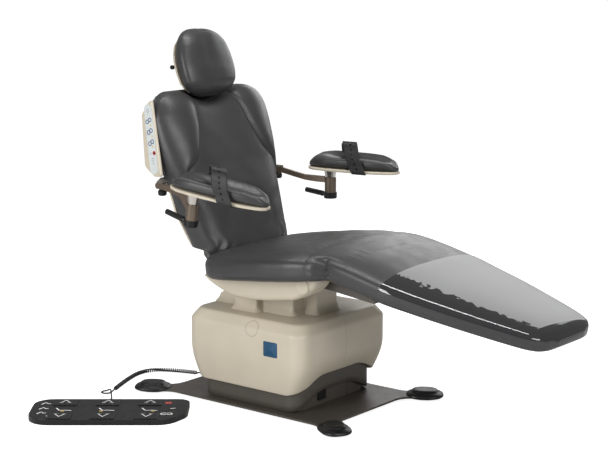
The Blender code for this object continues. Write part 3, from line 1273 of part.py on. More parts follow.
def make_arm_board(mats, arm, board):
    name = arm["name"]
    edge = []
    for f, wide in TRAY_PLAN:
        edge.append((TRAY_HALF * wide + TRAY_RIM, TRAY_REAR + TRAY_RIM - (TRAY_LENGTH + 2 * TRAY_RIM) * f))
    loop = [(-x, y) for x, y in edge] + edge[::-1]
    tray = add_part(f"arm_tray_{name}", outline([loop], 0.0, TRAY_THICK), mats["beige"], board, smooth=35)
    bevel(tray, TRAY_THICK / 4, 1, 60)
    rows = []
    for f, wide in TRAY_PLAN:
        swell = between(((0.0, 0.35), (0.10, 0.86), (0.3, 1.0), (0.75, 1.0), (0.93, 0.75), (1.0, 0.3)), f)
        trough = -PAD_TROUGH * between(((0.0, 0.0), (0.12, 0.2), (0.4, 1.0), (0.8, 1.0), (1.0, 0.0)), f)
        low = TRAY_THICK + CLEAR
        ring = pad_ring(TRAY_HALF * wide, low, low + PAD_THICK * swell, trough, 16, 3.2)
        rise = arm["slant"] * wide / (2 * PAD_THICK)
        ring = [(x, z + rise * (x / (TRAY_HALF * wide) + 1) * (z - low)) for x, z in ring]
        rows.append([(x, TRAY_REAR - TRAY_LENGTH * f, z) for x, z in ring])
    add_part(f"arm_pad_{name}", grid(rows, caps=True), mats["vinyl"], board, smooth=40)
    make_strap(mats, name, board)


def make_strap(mats, name, board):
    """A flat band looped under the tray, standing over the near rim of the pad and falling to the far one."""
    side = TRAY_HALF + TRAY_RIM + 4 * RUN + STRAP_THICK
    low = -CLEAR - STRAP_THICK
    base = TRAY_THICK + PAD_THICK
    knee = base * 0.9
    over = ((-1.00, 0.0), (-0.95, 0.50), (-0.82, 0.86), (-0.64, 1.00), (-0.48, 1.00), (-0.15, 0.86),
            (0.30, 0.72), (0.70, 0.64), (0.93, 0.42), (1.00, 0.12))
    top = base + STRAP_RISE
    path = [(0.0, low), (-side + STRAP_THICK, low), (-side, low + 1.5 * STRAP_THICK)]
    path += [(side * share, knee + rise * (top - knee)) for share, rise in over]
    path += [(side, low + 1.5 * STRAP_THICK), (side - STRAP_THICK, low)]
    path = path[::-1]
    count = len(path)
    rows = []
    for i, (x, z) in enumerate(path):
        ahead = Vector(path[(i + 1) % count]) - Vector(path[i - 1])
        inward = Vector((-ahead.y, ahead.x)).normalized() * STRAP_THICK
        across = STRAP_SLANT * (x / side + 1) / 2
        upward = STRAP_LEAN * (min(z, knee) - low) + STRAP_LEAN_TOP * max(0.0, z - knee)
        middle = across + upward - STRAP_AHEAD
        corners = [((x, z), -1), ((x, z), 1), ((x + inward.x, z + inward.y), 1),
                   ((x + inward.x, z + inward.y), -1)]
        rows.append([(px, middle + end * STRAP_WIDTH / 2, pz) for (px, pz), end in corners])
    rows.append(rows[0])
    shape = bmesh.new()
    mesh = grid(rows)
    shape.from_mesh(mesh)
    bpy.data.meshes.remove(mesh)
    bmesh.ops.remove_doubles(shape, verts=shape.verts, dist=0.00001)
    bmesh.ops.recalc_face_normals(shape, faces=shape.faces)
    add_part(f"arm_strap_{name}", mesh_from_bmesh(shape, "strap"), mats["strap"], board)


# Foot control

def make_foot_control(mats):
    place = axis_empty("foot_control", (CONTROL_X, CONTROL_Y, 0.0), (0.0, 0.0, CONTROL_TURN))
    c = CONTROL_CORNER
    corners = [(CONTROL_HALF_X, CONTROL_BACK, c / 2), (-CONTROL_HALF_X, CONTROL_BACK, c * 0.8),
               (-CONTROL_HALF_X, -CONTROL_FRONT, c),
               (CONTROL_HALF_X - CONTROL_SLANT_X, -CONTROL_FRONT, c),
               (CONTROL_HALF_X, -CONTROL_FRONT + CONTROL_SLANT_Y, c)]
    housing = add_part("foot_control_housing", outline([rounded(corners, CONTROL_STEPS)], 0.0, CONTROL_HEIGHT),
                       mats["black"], place, smooth=40)
    bevel(housing, CONTROL_HEIGHT / 5, 2, 60)
    pockets = []
    floor = CONTROL_HEIGHT + PEDAL_PROUD - PEDAL_THICK
    for index in range(3):
        x = (index - 1) * PEDAL_PITCH - PEDAL_SHIFT
        for word, y in (("up", PEDAL_UP_Y), ("down", PEDAL_DOWN_Y)):
            low = (x - PEDAL_WIDTH / 2, y - PEDAL_DEPTH / 2, floor)
            high = (x + PEDAL_WIDTH / 2, y + PEDAL_DEPTH / 2, CONTROL_HEIGHT + PEDAL_PROUD)
            pedal = add_part(f"pedal_{index + 1}_{word}", block(low, high), mats["black"], place)
            bevel(pedal, PEDAL_PROUD / 2, 2)
            pockets.append(block((low[0] - RUN, low[1] - RUN, floor - PEDAL_TRAVEL - CLEAR),
                                 (high[0] + RUN, high[1] + RUN, CONTROL_HEIGHT * 2)))
    boolean(housing, add_cutter("pedal_pockets", joined(pockets), place))


# Cord

def frames(path):
    """At each point a direction along the path and two across it, turning as little as possible."""
    along = [(path[min(i + 1, len(path) - 1)] - path[max(i - 1, 0)]).normalized() for i in range(len(path))]
    across = Vector((0.0, 0.0, 1.0))
    result = []
    for direction in along:
        across = (across - direction * across.dot(direction)).normalized()
        result.append((direction, across, direction.cross(across)))
    return result


def cord_points():
    """One wire: a plain tail, a helix of curls with its ends drawn in, and a plain lead."""
    gland_end = Vector((GLAND_X, INNER_HALF_Y + CLEAR + GLAND_LENGTH + CLEAR, GLAND_Z))
    turn = Vector((math.cos(CONTROL_TURN), math.sin(CONTROL_TURN), 0.0))
    away = Vector((-turn.y, turn.x, 0.0))
    plug = Vector((CONTROL_X, CONTROL_Y, CONTROL_HEIGHT / 2)) + away * (CONTROL_BACK + CLEAR)
    tail = smooth_path([gland_end, gland_end + Vector((0.0, WIRE, 0.0)), *CORD_TAIL, CORD_CURLY[0]],
                       3 * WIRE)
    lead = smooth_path([CORD_CURLY[-1], *CORD_LEAD, plug + away * 2 * WIRE, plug], 2 * WIRE)
    lead[-2] = plug + away * 2 * WIRE
    count = CURLS * CURL_POINTS
    route = smooth_path(CORD_CURLY, 0.0005)
    radius = (CURL_WIDTH - WIRE) / 2
    spots = [route[round(i * (len(route) - 1) / count)] for i in range(count + 1)]
    helix = []
    for i, (spot, (_, up, sideways)) in enumerate(zip(spots, frames(spots))):
        swell = min(1.0, i / CURL_POINTS, (count - i) / CURL_POINTS)
        angle = 2 * math.pi * i / CURL_POINTS
        helix.append(spot + (up * math.cos(angle) + sideways * math.sin(angle)) * radius * swell)
    return tail[:-1] + helix + lead[1:]


def least_gap(points):
    """Smallest clear distance between stretches of the wire that are not neighbours."""
    least = 1.0
    for i, here in enumerate(points):
        for there in points[i + CURL_POINTS // 2 + 1:]:
            least = min(least, (there - here).length)
    return least - WIRE


def make_cord(mats):
    floor = INNER_HALF_Y + CLEAR
    turned([(0.0, GLAND_LENGTH), (WIRE * 0.8, GLAND_LENGTH), (GLAND_RADIUS * 0.8, GLAND_LENGTH * 0.35),
            (GLAND_RADIUS, GLAND_LENGTH * 0.3),
            (GLAND_RADIUS, 0.0), (0.0, 0.0)], mats["black"], "cord_gland", None, (GLAND_X, floor, GLAND_Z),
           12)
    bpy.data.objects["cord_gland"].rotation_euler = (-math.pi / 2, 0.0, 0.0)
    points = cord_points()
    print("least gap of the cord to itself, mm:", round(least_gap(points) * 1000, 2))
    curve = bpy.data.curves.new("foot_control_cord", "CURVE")
    curve.dimensions = "3D"
    curve.bevel_depth = WIRE / 2
    curve.bevel_resolution = 1
    curve.use_fill_caps = True
    spline = curve.splines.new("POLY")
    spline.points.add(len(points) - 1)
    for point, place in zip(spline.points, points):
        point.co = (*place, 1.0)
    curve.materials.append(mats["black"])
    parts.objects.link(bpy.data.objects.new("foot_control_cord", curve))


def build():
    clear_scene()
    mats = make_materials()
    make_base_plate(mats)
    make_foot_caps(mats)
    make_skirts(mats)
    make_column(mats)
    make_covers(mats)
    make_neck(mats)
    tilt = axis_empty("tilt_axis", (0.0, 0.0, TILT_Z))
    seat_plane = axis_empty("seat_plane", (0.0, 0.0, SEAT_Z - TILT_Z), (-SEAT_PITCH, 0.0, 0.0), tilt)
    make_seat_frame(mats, seat_plane)
    make_pan(mats)
    make_seat_cushion(mats, seat_plane)
    leg_plane = axis_empty("knee_axis", (0.0, KNEE_Y, KNEE_Z), (LEG_PITCH, 0.0, 0.0))
    make_leg_section(mats, leg_plane)
    back = axis_empty("recline_axis", (0.0, BACK_HINGE_Y, BACK_HINGE_Z), (-BACK_LEAN, 0.0, 0.0))
    make_back(mats, back)
    make_headrest(mats, back)
    for arm in ARM_SIDES:
        make_arm(mats, arm)
    make_foot_control(mats)
    make_cord(mats)


build()
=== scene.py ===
import json
import math

import bpy
import numpy as np
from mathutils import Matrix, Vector


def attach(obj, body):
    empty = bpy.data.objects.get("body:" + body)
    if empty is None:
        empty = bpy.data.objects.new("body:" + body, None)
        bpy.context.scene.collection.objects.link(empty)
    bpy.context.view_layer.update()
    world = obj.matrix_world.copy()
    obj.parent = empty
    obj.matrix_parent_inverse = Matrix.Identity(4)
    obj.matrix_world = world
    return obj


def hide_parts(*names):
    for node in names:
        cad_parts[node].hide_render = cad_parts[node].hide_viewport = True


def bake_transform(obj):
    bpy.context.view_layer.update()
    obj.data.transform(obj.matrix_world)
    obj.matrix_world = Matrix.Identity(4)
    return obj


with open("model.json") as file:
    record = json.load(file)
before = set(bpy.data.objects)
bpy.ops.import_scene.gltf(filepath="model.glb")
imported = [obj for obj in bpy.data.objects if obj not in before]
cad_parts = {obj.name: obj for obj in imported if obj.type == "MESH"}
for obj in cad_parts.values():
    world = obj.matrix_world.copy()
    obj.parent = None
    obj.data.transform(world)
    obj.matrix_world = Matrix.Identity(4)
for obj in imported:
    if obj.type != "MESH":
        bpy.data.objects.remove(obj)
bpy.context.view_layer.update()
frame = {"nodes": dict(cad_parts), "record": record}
nodes = frame["nodes"]


# Places

def plane(origin, turnX=0.0, turnZ=0.0, parent=None):
    cx, sx, cz, sz = math.cos(turnX), math.sin(turnX), math.cos(turnZ), math.sin(turnZ)
    tilt = np.array([[1, 0, 0], [0, cx, -sx], [0, sx, cx]])
    spin = np.array([[cz, -sz, 0], [sz, cz, 0], [0, 0, 1]])
    own = np.eye(4)
    own[:3, :3] = spin @ tilt
    own[:3, 3] = origin
    return own if parent is None else parent @ own


def moved(points, matrix):
    return np.asarray(points) @ matrix[:3, :3].T + matrix[:3, 3]


# The distance between a piece and what carries it.
fit = 0.0003
seatHeight = 0.446
seatLean = math.radians(6.2)
kneePivot = (0, -0.250, 0.447)
headPivot = np.array([0, 0.0538, 0.6749])
sleeveHalf = 0.026

seatPlane = plane((0, 0, seatHeight), -seatLean)
legPlane = plane(kneePivot, math.radians(11.4))
backPlane = plane((0, 0.2236, 0.4432), math.radians(-13))
podPlane = plane((0, 0, 0), math.radians(3.8), parent=backPlane)
keypadPlane = plane((0, 0.053, 0.440), math.radians(2.2), parent=podPlane)
headPlane = plane(headPivot, math.radians(-6.2), parent=backPlane) @ plane(-headPivot)
controlPlane = plane((-0.545, 0.302, 0), turnZ=math.radians(-51.4))
boardPlanes = {}
for side, sign, lean, yaw, cone in (("right", -1, 9, 13, 0.040), ("left", 1, 0, 9, 0.029)):
    post = plane((sign * 0.36, 0.098, 0.664), math.radians(lean))
    boardPlanes[side] = plane((0, 0, sleeveHalf + fit + cone + fit), turnZ=math.radians(yaw), parent=post)


# Shapes

capSteps, capLeast = 7, 0.03


def cubic(start, leave, end, reach, t):
    # Cubic from start to end that leaves along one slope and arrives along the other.
    return (start * (1 + 2 * t) * (1 - t) ** 2 + leave * t * (1 - t) ** 2
            + end * t * t * (3 - 2 * t) + reach * t * t * (t - 1))


def curveAt(table, x):
    # Cubic between table points, with slopes held so that it never overshoots.
    table = np.asarray(table, float)
    x = np.asarray(x, float)
    xs, ys = table[:, 0], table[:, 1:]
    h = np.diff(xs)[:, None]
    d = np.diff(ys, axis=0) / h
    m = np.zeros_like(ys)
    same = d[:-1] * d[1:] > 0
    total = np.where(same, d[:-1] + d[1:], 1.0)
    m[1:-1] = np.where(same, 2 * d[:-1] * d[1:] / total, 0.0)
    m[0], m[-1] = d[0], d[-1]
    i = np.clip(np.searchsorted(xs, x, "right") - 1, 0, len(xs) - 2)
    t = np.clip((x - xs[i]) / h[i, 0], 0, 1)[..., None]
    value = cubic(ys[i], m[i] * h[i], ys[i + 1], m[i + 1] * h[i], t)
    return value[..., 0] if value.shape[-1] == 1 else value


def rise(x, low, high):
    # Smooth step from 0 at low to 1 at high.
    t = np.clip((np.asarray(x) - low) / (high - low), 0, 1)
    return t * t * (3 - 2 * t)


def bump(x, middle, width):
    # Bell curve of height 1.
    return np.exp(-((np.asarray(x) - middle) / width) ** 2)


def ripple(x, y, seed):
    # Sum of five sines with fixed, unrelated directions and pitches, between about -1 and 1.
    total = 0
    for k in range(5):
        turn = 1.7 * k + 0.9 * seed
        pitch = 0.7 + 0.37 * k
        total = total + np.sin(pitch * (x * math.cos(turn) + y * math.sin(turn)) + 2.1 * k * seed)
    return total / 3.2


def unit(vectors):
    # Each vector divided by its length.
    return vectors / np.maximum(np.linalg.norm(vectors, axis=-1, keepdims=True), 1e-12)


def signedPower(values, power):
    # Power of the size, with the sign kept: a superellipse from a cosine or a sine.
    return np.sign(values) * np.abs(values) ** power


def columns(*parts):
    # Parts broadcast together and stacked as coordinates.
    return np.stack(np.broadcast_arrays(*parts), -1)


def evenSteps(points, count=0, closed=False, spacing=0.0):
    # Points at even steps of the running length, and those lengths. A closed line leaves out its last point.
    run = np.concatenate([[0], np.cumsum(np.linalg.norm(np.diff(points, axis=0), axis=1))])
    if spacing:
        count = max(2, round(run[-1] / spacing)) + 1
    at = np.linspace(0, run[-1], count, endpoint=not closed)
    return np.stack([np.interp(at, run, column) for column in points.T], 1), at


def throughPoints(p, steps):
    # Cubics through the inner points, each point with the slope of the line between its neighbours.
    t = np.linspace(0, 1, steps, endpoint=False)[None, :, None]
    a, b, c, d = (p[k:len(p) - 3 + k, None, :] for k in range(4))
    fine = 2 * b + (c - a) * t + (2 * a - 5 * b + 4 * c - d) * t ** 2 + (3 * b - a - 3 * c + d) * t ** 3
    return (0.5 * fine).reshape(-1, p.shape[1])


def easedShares(count, start=0.0, end=1.0):
    # Sections closer together at both ends, by a half cosine.
    return start + (end - start) * (1 - np.cos(np.linspace(0, math.pi, count))) / 2


def padRing(half, low, high, crown, count, top, under):
    # Rounded box section: a superellipse with its own squareness above and below, crowned by a parabola,
    # with its points evenly spaced.
    a = np.linspace(0, 2 * math.pi, 2401)
    c, s = np.cos(a), np.sin(a)
    power = 2 / np.where(s < 0, under, top)
    x = half * signedPower(c, power)
    up = signedPower(s, power)
    z = (low + high) / 2 + (high - low) / 2 * up + np.where(up > 0, crown * up * (1 - (x / half) ** 2), 0)
    return evenSteps(columns(x, z), count, closed=True)[0].T


def closedEnds(rows, first, last):
    # Each end shrinks to its middle along a quarter circle, standing out by the given distance.
    turn = np.linspace(0, math.pi / 2, capSteps + 1)[1:, None, None]
    shrink = np.maximum(np.cos(turn), capLeast)
    start, end = (ring.mean(0) + (ring - ring.mean(0)) * shrink + np.array(out) * np.sin(turn)
                  for ring, out in ((rows[0], first), (rows[-1], last)))
    return np.concatenate([start[::-1], rows, end])


def gridNormals(points):
    # Cross product of the differences along rows and around each row.
    around = (np.roll(points, -1, 1) - np.roll(points, 1, 1)) / 2
    return unit(np.cross(around, np.gradient(points, axis=0)))


def placed(name, data):
    piece = bpy.data.objects.new(name, data)
    bpy.context.scene.collection.objects.link(piece)
    return piece


def meshObject(name, verts, faces, mat, smooth=True):
    mesh = bpy.data.meshes.new(name)
    mesh.from_pydata(np.asarray(verts, float).tolist(), [], faces)
    mesh.validate()
    if smooth:
        mesh.shade_smooth()
    else:
        mesh.shade_flat()
    mesh.materials.append(mat)
    return placed(name, mesh)


def gridFaces(rows, cols, loop=True):
    i, j = np.meshgrid(np.arange(rows - 1), np.arange(cols if loop else cols - 1), indexing="ij")
    k = (j + 1) % cols
    return np.stack([i * cols + j, i * cols + k, (i + 1) * cols + k, (i + 1) * cols + j], -1).reshape(-1, 4)


def gridPiece(name, points, mat, loop=True, caps=False, flip=False):
    rows, cols = points.shape[:2]
    faces = gridFaces(rows, cols, loop).tolist()
    if caps:
        faces += [list(range(cols))[::-1], list(range((rows - 1) * cols, rows * cols))]
    if flip:
        faces = [f[::-1] for f in faces]
    return meshObject(name, points.reshape(-1, 3), faces, mat)


def faceOut(piece):
    # Turns every face outwards by the sign of the enclosed volume.
    mesh = piece.data
    mesh.calc_loop_triangles()
    co = np.zeros(len(mesh.vertices) * 3)
    mesh.vertices.foreach_get("co", co)
    co = co.reshape(-1, 3)
    tri = np.zeros(len(mesh.loop_triangles) * 3, int)
    mesh.loop_triangles.foreach_get("vertices", tri)
    a, b, c = (co[tri[k::3]] for k in range(3))
    if np.einsum("ij,ij->", a, np.cross(b, c)) < 0:
        mesh.flip_normals()
    return piece


def settle(piece, *nodesReplaced, body, slot):
    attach(piece, body)
    if nodesReplaced:
        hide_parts(*nodesReplaced)
    return piece


# Materials

class Shader:
    def __init__(self, name):
        self.mat = bpy.data.materials.new(name)
        self.mat.use_nodes = True
        self.tree = self.mat.node_tree
        self.main = self.tree.nodes["Principled BSDF"]
        self.coord = self.node("TexCoord").outputs["Object"]

    def feed(self, socket, value):
        # An output of another node is linked, and anything else is set as a constant.
        if isinstance(value, bpy.types.NodeSocket):
            self.tree.links.new(value, socket)
        else:
            socket.default_value = value

    def node(self, kind, **inputs):
        made = self.tree.nodes.new("ShaderNode" + kind)
        for word, value in inputs.items():
            self.feed(made.inputs[word.replace("_", " ")], value)
        return made

    def set(self, **values):
        for word, value in values.items():
            self.feed(self.main.inputs[word.replace("_", " ")], value)

    def noise(self, scale, detail, stretch=None):
        place = self.coord
        if stretch:
            place = self.node("Mapping", Scale=stretch, Vector=place).outputs["Vector"]
        return self.node("TexNoise", Scale=scale, Detail=detail, Roughness=0.55, Vector=place).outputs["Fac"]

    def cells(self, scale):
        return self.node("TexVoronoi", Scale=scale, Vector=self.coord).outputs["Distance"]

    def ramp(self, fac, low, high):
        made = self.node("ValToRGB", Fac=fac)
        for stop, position, rgb in zip(made.color_ramp.elements, (0.3, 0.7), (low, high)):
            stop.position, stop.color = position, (*rgb, 1)
        return made.outputs["Color"]

    def span(self, fac, low, high, start=0.3, end=0.7):
        made = self.node("MapRange", Value=fac, From_Min=start, From_Max=end, To_Min=low, To_Max=high)
        return made.outputs["Result"]

    def math(self, operation, *values, kind="Math"):
        made = self.node(kind)
        made.operation = operation
        for socket, value in zip(made.inputs, values):
            self.feed(socket, value)
        return made.outputs["Value"]

    def sum(self, a, b, share):
        return self.math("MULTIPLY_ADD", b, share, a)

    def ringLine(self, centre, radius, width):
        # 0 on a circle cut by a sphere round the centre, 1 away from it.
        away = self.math("DISTANCE", self.coord, centre, kind="VectorMath")
        return self.span(self.math("ABSOLUTE", self.math("SUBTRACT", away, radius)), 0.0, 1.0, 0.0, width)

    def relief(self, height, depth, strength=1.0):
        made = self.node("Bump", Distance=depth, Strength=strength, Height=height)
        self.set(Normal=made.outputs["Normal"])

    def colour(self, fac, low, high):
        self.set(Base_Color=self.ramp(fac, low, high))

    def roughness(self, fac, low, high):
        self.set(Roughness=self.span(fac, low, high))


def shade(rgb, share):
    return tuple(c * share for c in rgb)


def moulding(name, rgb, rough, grain, depth, speckle=0.06, **values):
    # Moulded plastic or paint: faint cloudy colour, fine orange-peel grain, roughness that wanders a little.
    s = Shader(name)
    s.colour(s.noise(9, 4), shade(rgb, 1 - speckle), shade(rgb, 1 + speckle))
    s.roughness(s.noise(35, 3), rough - 0.04, rough + 0.05)
    s.relief(s.sum(s.noise(grain, 2), s.cells(grain * 0.8), 0.5), depth)
    s.set(**values)
    return s.mat


def vinylMaterial(name, rgb, rough):
    # Upholstery vinyl: pebbled grain of small cells over fine creases, slightly uneven sheen.
    s = Shader(name)
    s.colour(s.noise(14, 5), shade(rgb, 0.93), shade(rgb, 1.06))
    s.roughness(s.noise(22, 4), rough - 0.05, rough + 0.05)
    s.relief(s.sum(s.cells(620), s.noise(240, 4), 0.6), 0.00022, 0.7)
    s.set(Specular_IOR_Level=0.5)
    return s.mat


def brushed(name, rgb, rough):
    # Turned or polished metal: fine streaks around the part.
    s = Shader(name)
    s.colour(s.noise(30, 3, stretch=(1, 1, 14)), shade(rgb, 0.94), shade(rgb, 1.04))
    s.roughness(s.noise(260, 2, stretch=(1, 1, 20)), rough - 0.05, rough + 0.08)
    s.relief(s.noise(900, 2, stretch=(1, 1, 25)), 0.00004)
    s.set(Metallic=1.0)
    return s.mat


beige = (0.62, 0.555, 0.44)
plug = {"spots": ((-0.235, -0.041, 0.281), (0.235, -0.041, 0.281)), "radius": 0.0265, "line": 0.0014}


def coverMaterial():
    # Beige moulding with a fine dark ring line round each plug in its sides.
    s = Shader("beige_cover")
    rings = s.math("MINIMUM", *(s.ringLine(spot, plug["radius"], plug["line"]) for spot in plug["spots"]))
    cloud = s.ramp(s.noise(9, 4), shade(beige, 0.97), shade(beige, 1.03))
    mix = s.node("Mix")
    mix.data_type = "RGBA"
    for word, value in (("Factor", rings), ("A", (*shade(beige, 0.45), 1)), ("B", cloud)):
        s.feed(mix.inputs[word], value)
    s.set(Base_Color=mix.outputs["Result"])
    s.roughness(s.noise(35, 3), 0.32, 0.41)
    s.relief(s.sum(s.sum(s.noise(900, 2), s.cells(720), 0.5), rings, 6.0), 0.00008)
    return s.mat


def clearVinyl():
    # Thin clear sheet. Its own UV runs along the pad and across it: it clings to the near side, where only its
    # gloss shows over the dark vinyl, and lies loose on top, where it is painted light grey as a painted
    # reflection of the light above, with a rippled border between the two.
    s = Shader("clear_vinyl")
    uv = s.node("UVMap")
    uv.uv_map = "sheet"
    along, across = s.node("SeparateXYZ", Vector=uv.outputs["UV"]).outputs[:2]
    wave = s.node("TexNoise", Scale=26, Detail=4, Vector=uv.outputs["UV"]).outputs["Fac"]
    border = s.math("ADD", across, s.math("MULTIPLY", s.math("SUBTRACT", wave, 0.5), 0.16))
    # The toe pocket clings too, further along at the far side, and gets no painted reflection.
    toe = s.math("SUBTRACT", along, s.math("MULTIPLY", across, 0.10))
    looseAndLit = s.math("MULTIPLY", s.span(border, 0.0, 1.0, 0.150, 0.168), s.span(toe, 1.0, 0.0, 0.89, 0.91))
    # Colour: dark like the vinyl where the sheet clings, light grey on top as a painted reflection of the overhead
    # light.
    s.colour(looseAndLit, (0.030, 0.030, 0.032), (0.46, 0.46, 0.465))
    s.set(Alpha=s.span(looseAndLit, 0.78, 0.62, 0.0, 1.0), Roughness=s.span(looseAndLit, 0.07, 0.42, 0.0, 1.0))
    edge = s.math("MULTIPLY", s.math("ABSOLUTE", s.math("SUBTRACT", looseAndLit, 0.5)), -1.0)
    s.relief(s.sum(s.noise(9, 3), edge, 0.5), 0.0030, 0.16)
    s.set(Specular_IOR_Level=1.0)
    return s.mat


mats = {
    "vinyl": vinylMaterial("charcoal_vinyl", (0.044, 0.044, 0.0455), 0.36),
    "beige": moulding("beige_plastic", beige, 0.36, 900, 0.00008, 0.03),
    "skirt": moulding("brown_plastic", (0.085, 0.075, 0.062), 0.45, 700, 0.00016),
    "plate": moulding("plate_paint", (0.075, 0.064, 0.053), 0.40, 420, 0.00025),
    "black": moulding("black_plastic", (0.007, 0.007, 0.0075), 0.38, 800, 0.00015, Specular_IOR_Level=0.4),
    "bronze": moulding("bronze_paint", (0.17, 0.128, 0.095), 0.30, 500, 0.00008, Metallic=0.35),
    "rubber": moulding("strap_rubber", (0.008, 0.008, 0.0085), 0.50, 650, 0.00018),
    "frame": moulding("frame_paint", (0.10, 0.085, 0.070), 0.45, 500, 0.00014),
    "keypad": moulding("keypad_film", (0.66, 0.70, 0.70), 0.38, 1200, 0.00004, 0.02),
    "cord": moulding("cord_plastic", (0.010, 0.010, 0.011), 0.36, 900, 0.00008),
    "badge": moulding("plain_badge", (0.010, 0.075, 0.165), 0.35, 900, 0.00004, 0.02),
    "cover": coverMaterial(),
    "steel": brushed("machined_steel", (0.52, 0.52, 0.52), 0.34),
    "polished": brushed("polished_steel", (0.66, 0.62, 0.57), 0.20),
    "film": clearVinyl(),
}
prints = {"white": (0.95, 0.95, 0.95), "yellow": (0.72, 0.50, 0.10), "red": (0.62, 0.09, 0.08),
          "navy": (0.045, 0.085, 0.20), "grey": (0.30, 0.33, 0.36)}
for name, rgb in prints.items():
    mats[name] = moulding(f"{name}_print", rgb, 0.5, 900, 0.00002, 0.02)

slotMats = {
    "plate_paint": "plate", "black_moulding": "black", "beige_moulding": "beige", "skirt_moulding": "skirt",
    "machined_steel": "steel", "frame_paint": "frame", "charcoal_upholstery": "vinyl", "clear_vinyl": "film",
    "bronze_paint": "bronze", "polished_steel": "polished", "strap_rubber": "rubber", "keypad_film": "keypad",
}
for entry in frame["record"]["subparts"]:
    slots = nodes[entry["node"]].data.materials
    slots.clear()
    slots.append(mats[slotMats[entry["material_slot"]]])
print("materials done")


# Camera

view = {"place": (-4.12, -3.354, 1.546), "along": (0.7693, 0.6132, -0.1792), "focal": 1624.7, "pixels": 608,
        "sensor": 36, "far": 60}


def facing(direction):
    return Vector(direction).to_track_quat("-Z", "Y").to_euler()


camera = placed("camera", bpy.data.cameras.new("camera"))
camera.location = view["place"]
camera.rotation_euler = facing(view["along"])
camera.data.lens = view["focal"] / view["pixels"] * view["sensor"]
camera.data.sensor_width = view["sensor"]
camera.data.clip_end = view["far"]
bpy.context.scene.camera = camera


# Cord

wire = {"diameter": 0.0052, "curl": 0.0150, "curls": 56, "perCurl": 20, "step": 0.0005,
        "gland": (-0.012, 0.2086, 0.045), "entry": (0, 0.1183, 0.009)}
wire["tail"] = [(-0.0120, 0.222, 0.0440), (-0.0118, 0.250, 0.0340), (-0.0110, 0.285, 0.0215),
                (-0.0100, 0.320, 0.0168), (-0.0094, 0.352, 0.0166), (-0.0098, 0.378, 0.0118)]
wire["route"] = [
    (-0.011, 0.4, 0.008), (-0.023, 0.443, 0.0079), (-0.039, 0.486, 0.0079), (-0.064, 0.53, 0.0079),
    (-0.095, 0.554, 0.0079), (-0.134, 0.561, 0.0079), (-0.178, 0.552, 0.0079), (-0.236, 0.53, 0.0079),
    (-0.291, 0.506, 0.0079), (-0.342, 0.482, 0.008),
]
wire["lead"] = [
    (-0.357, 0.4755, 0.007), (-0.371, 0.473, 0.0037), (-0.384, 0.479, 0.003), (-0.389, 0.491, 0.003),
    (-0.384, 0.503, 0.003), (-0.372, 0.507, 0.003), (-0.362, 0.501, 0.0038), (-0.3615, 0.489, 0.0092),
    (-0.369, 0.4745, 0.0126), (-0.382, 0.459, 0.01), (-0.399, 0.44, 0.0048), (-0.418, 0.42, 0.005),
    (-0.436, 0.4035, 0.0085),
]


def smoothPath(points, spacing):
    # A curve through all the points, then even steps along its length.
    p = np.asarray(points, float)
    p = np.concatenate([[2 * p[0] - p[1]], p, [2 * p[-1] - p[-2]]])
    return evenSteps(np.concatenate([throughPoints(p, 24), p[-2:-1]]), spacing=spacing)[0]


def cordPath():
    # A plain tail, a helix whose ends are drawn in, and a plain lead into the foot control.
    d, perCurl = wire["diameter"], wire["perCurl"]
    gland = np.array(wire["gland"])
    entry = moved([wire["entry"]], controlPlane)[0]
    away = controlPlane[:3, 1] * 2 * d
    tail = smoothPath([gland, gland + (0, d, 0), *wire["tail"], wire["route"][0]], d)
    lead = smoothPath([wire["route"][-1], *wire["lead"], entry + away, entry], d)
    route = smoothPath(wire["route"], wire["step"])
    count = wire["curls"] * perCurl
    share, known = np.linspace(0, 1, count + 1), np.linspace(0, 1, len(route))
    spots = np.stack([np.interp(share, known, column) for column in route.T], 1)
    along = unit(np.gradient(spots, axis=0))
    up = unit(np.array([0, 0, 1]) - along * along[:, 2:])
    i = np.arange(count + 1)
    radius = (wire["curl"] - d) / 2 * np.minimum(1, np.minimum(i, count - i) / perCurl)
    turn = 2 * math.pi * i / perCurl
    ring = (up * np.cos(turn)[:, None] + np.cross(along, up) * np.sin(turn)[:, None]) * radius[:, None]
    return np.concatenate([tail[:-1], spots + ring, lead[1:]])


path = cordPath()
curve = bpy.data.curves.new("control_cord", "CURVE")
curve.dimensions = "3D"
curve.bevel_depth = wire["diameter"] / 2
curve.bevel_resolution = 3
curve.use_fill_caps = True
spline = curve.splines.new("POLY")
spline.points.add(len(path) - 1)
spline.points.foreach_set("co", np.concatenate([path, np.ones((len(path), 1))], 1).ravel())
curve.materials.append(mats["cord"])
cord = placed("control_cord", curve)
settle(cord, "foot_control_cord", body="base", slot="black_moulding")
cordLength = float(np.linalg.norm(np.diff(path, axis=0), axis=1).sum())
print("cord done", round(cordLength, 3))


# Seat and leg cushions

# Stations give the share of the length, then the width, the low side, the high side and the crown.
seat = {"length": 0.488, "half": 0.305, "thick": 0.096, "rear": 0.149, "under": 0.0, "lean": -0.06,
        "kneeAtEnd": True, "rows": 150, "count": 260, "square": 2.7, "droop": 0.014, "bulge": (0.004, 0.003),
        "gatherAt": -0.327, "gatherRise": (0.01, 0.05), "folds": (150, 2, 37, 0),
        "ripple": (0.0006, 40, 40, 2), "rippleRise": (0.02, 0.07),
        "seam": (0.0020, 0.078, 0.0032), "seamOut": (0.24, 0.30), "seamEnd": (-0.319, -0.279)}
seat["stations"] = (
    (0.0, 0.74, 0.1, 0.7, -0.03), (0.045, 0.87, 0.02, 0.86, -0.05), (0.135, 0.95, 0.0, 0.92, -0.06),
    (0.29, 0.99, 0.0, 0.96, -0.04), (0.52, 1.0, 0.0, 0.99, 0.0), (0.75, 0.98, 0.0, 1.0, 0.04),
    (0.905, 0.93, 0.0, 0.96, 0.06), (0.975, 0.88, 0.01, 0.88, 0.05), (1.0, 0.83, 0.06, 0.72, 0.03),
)
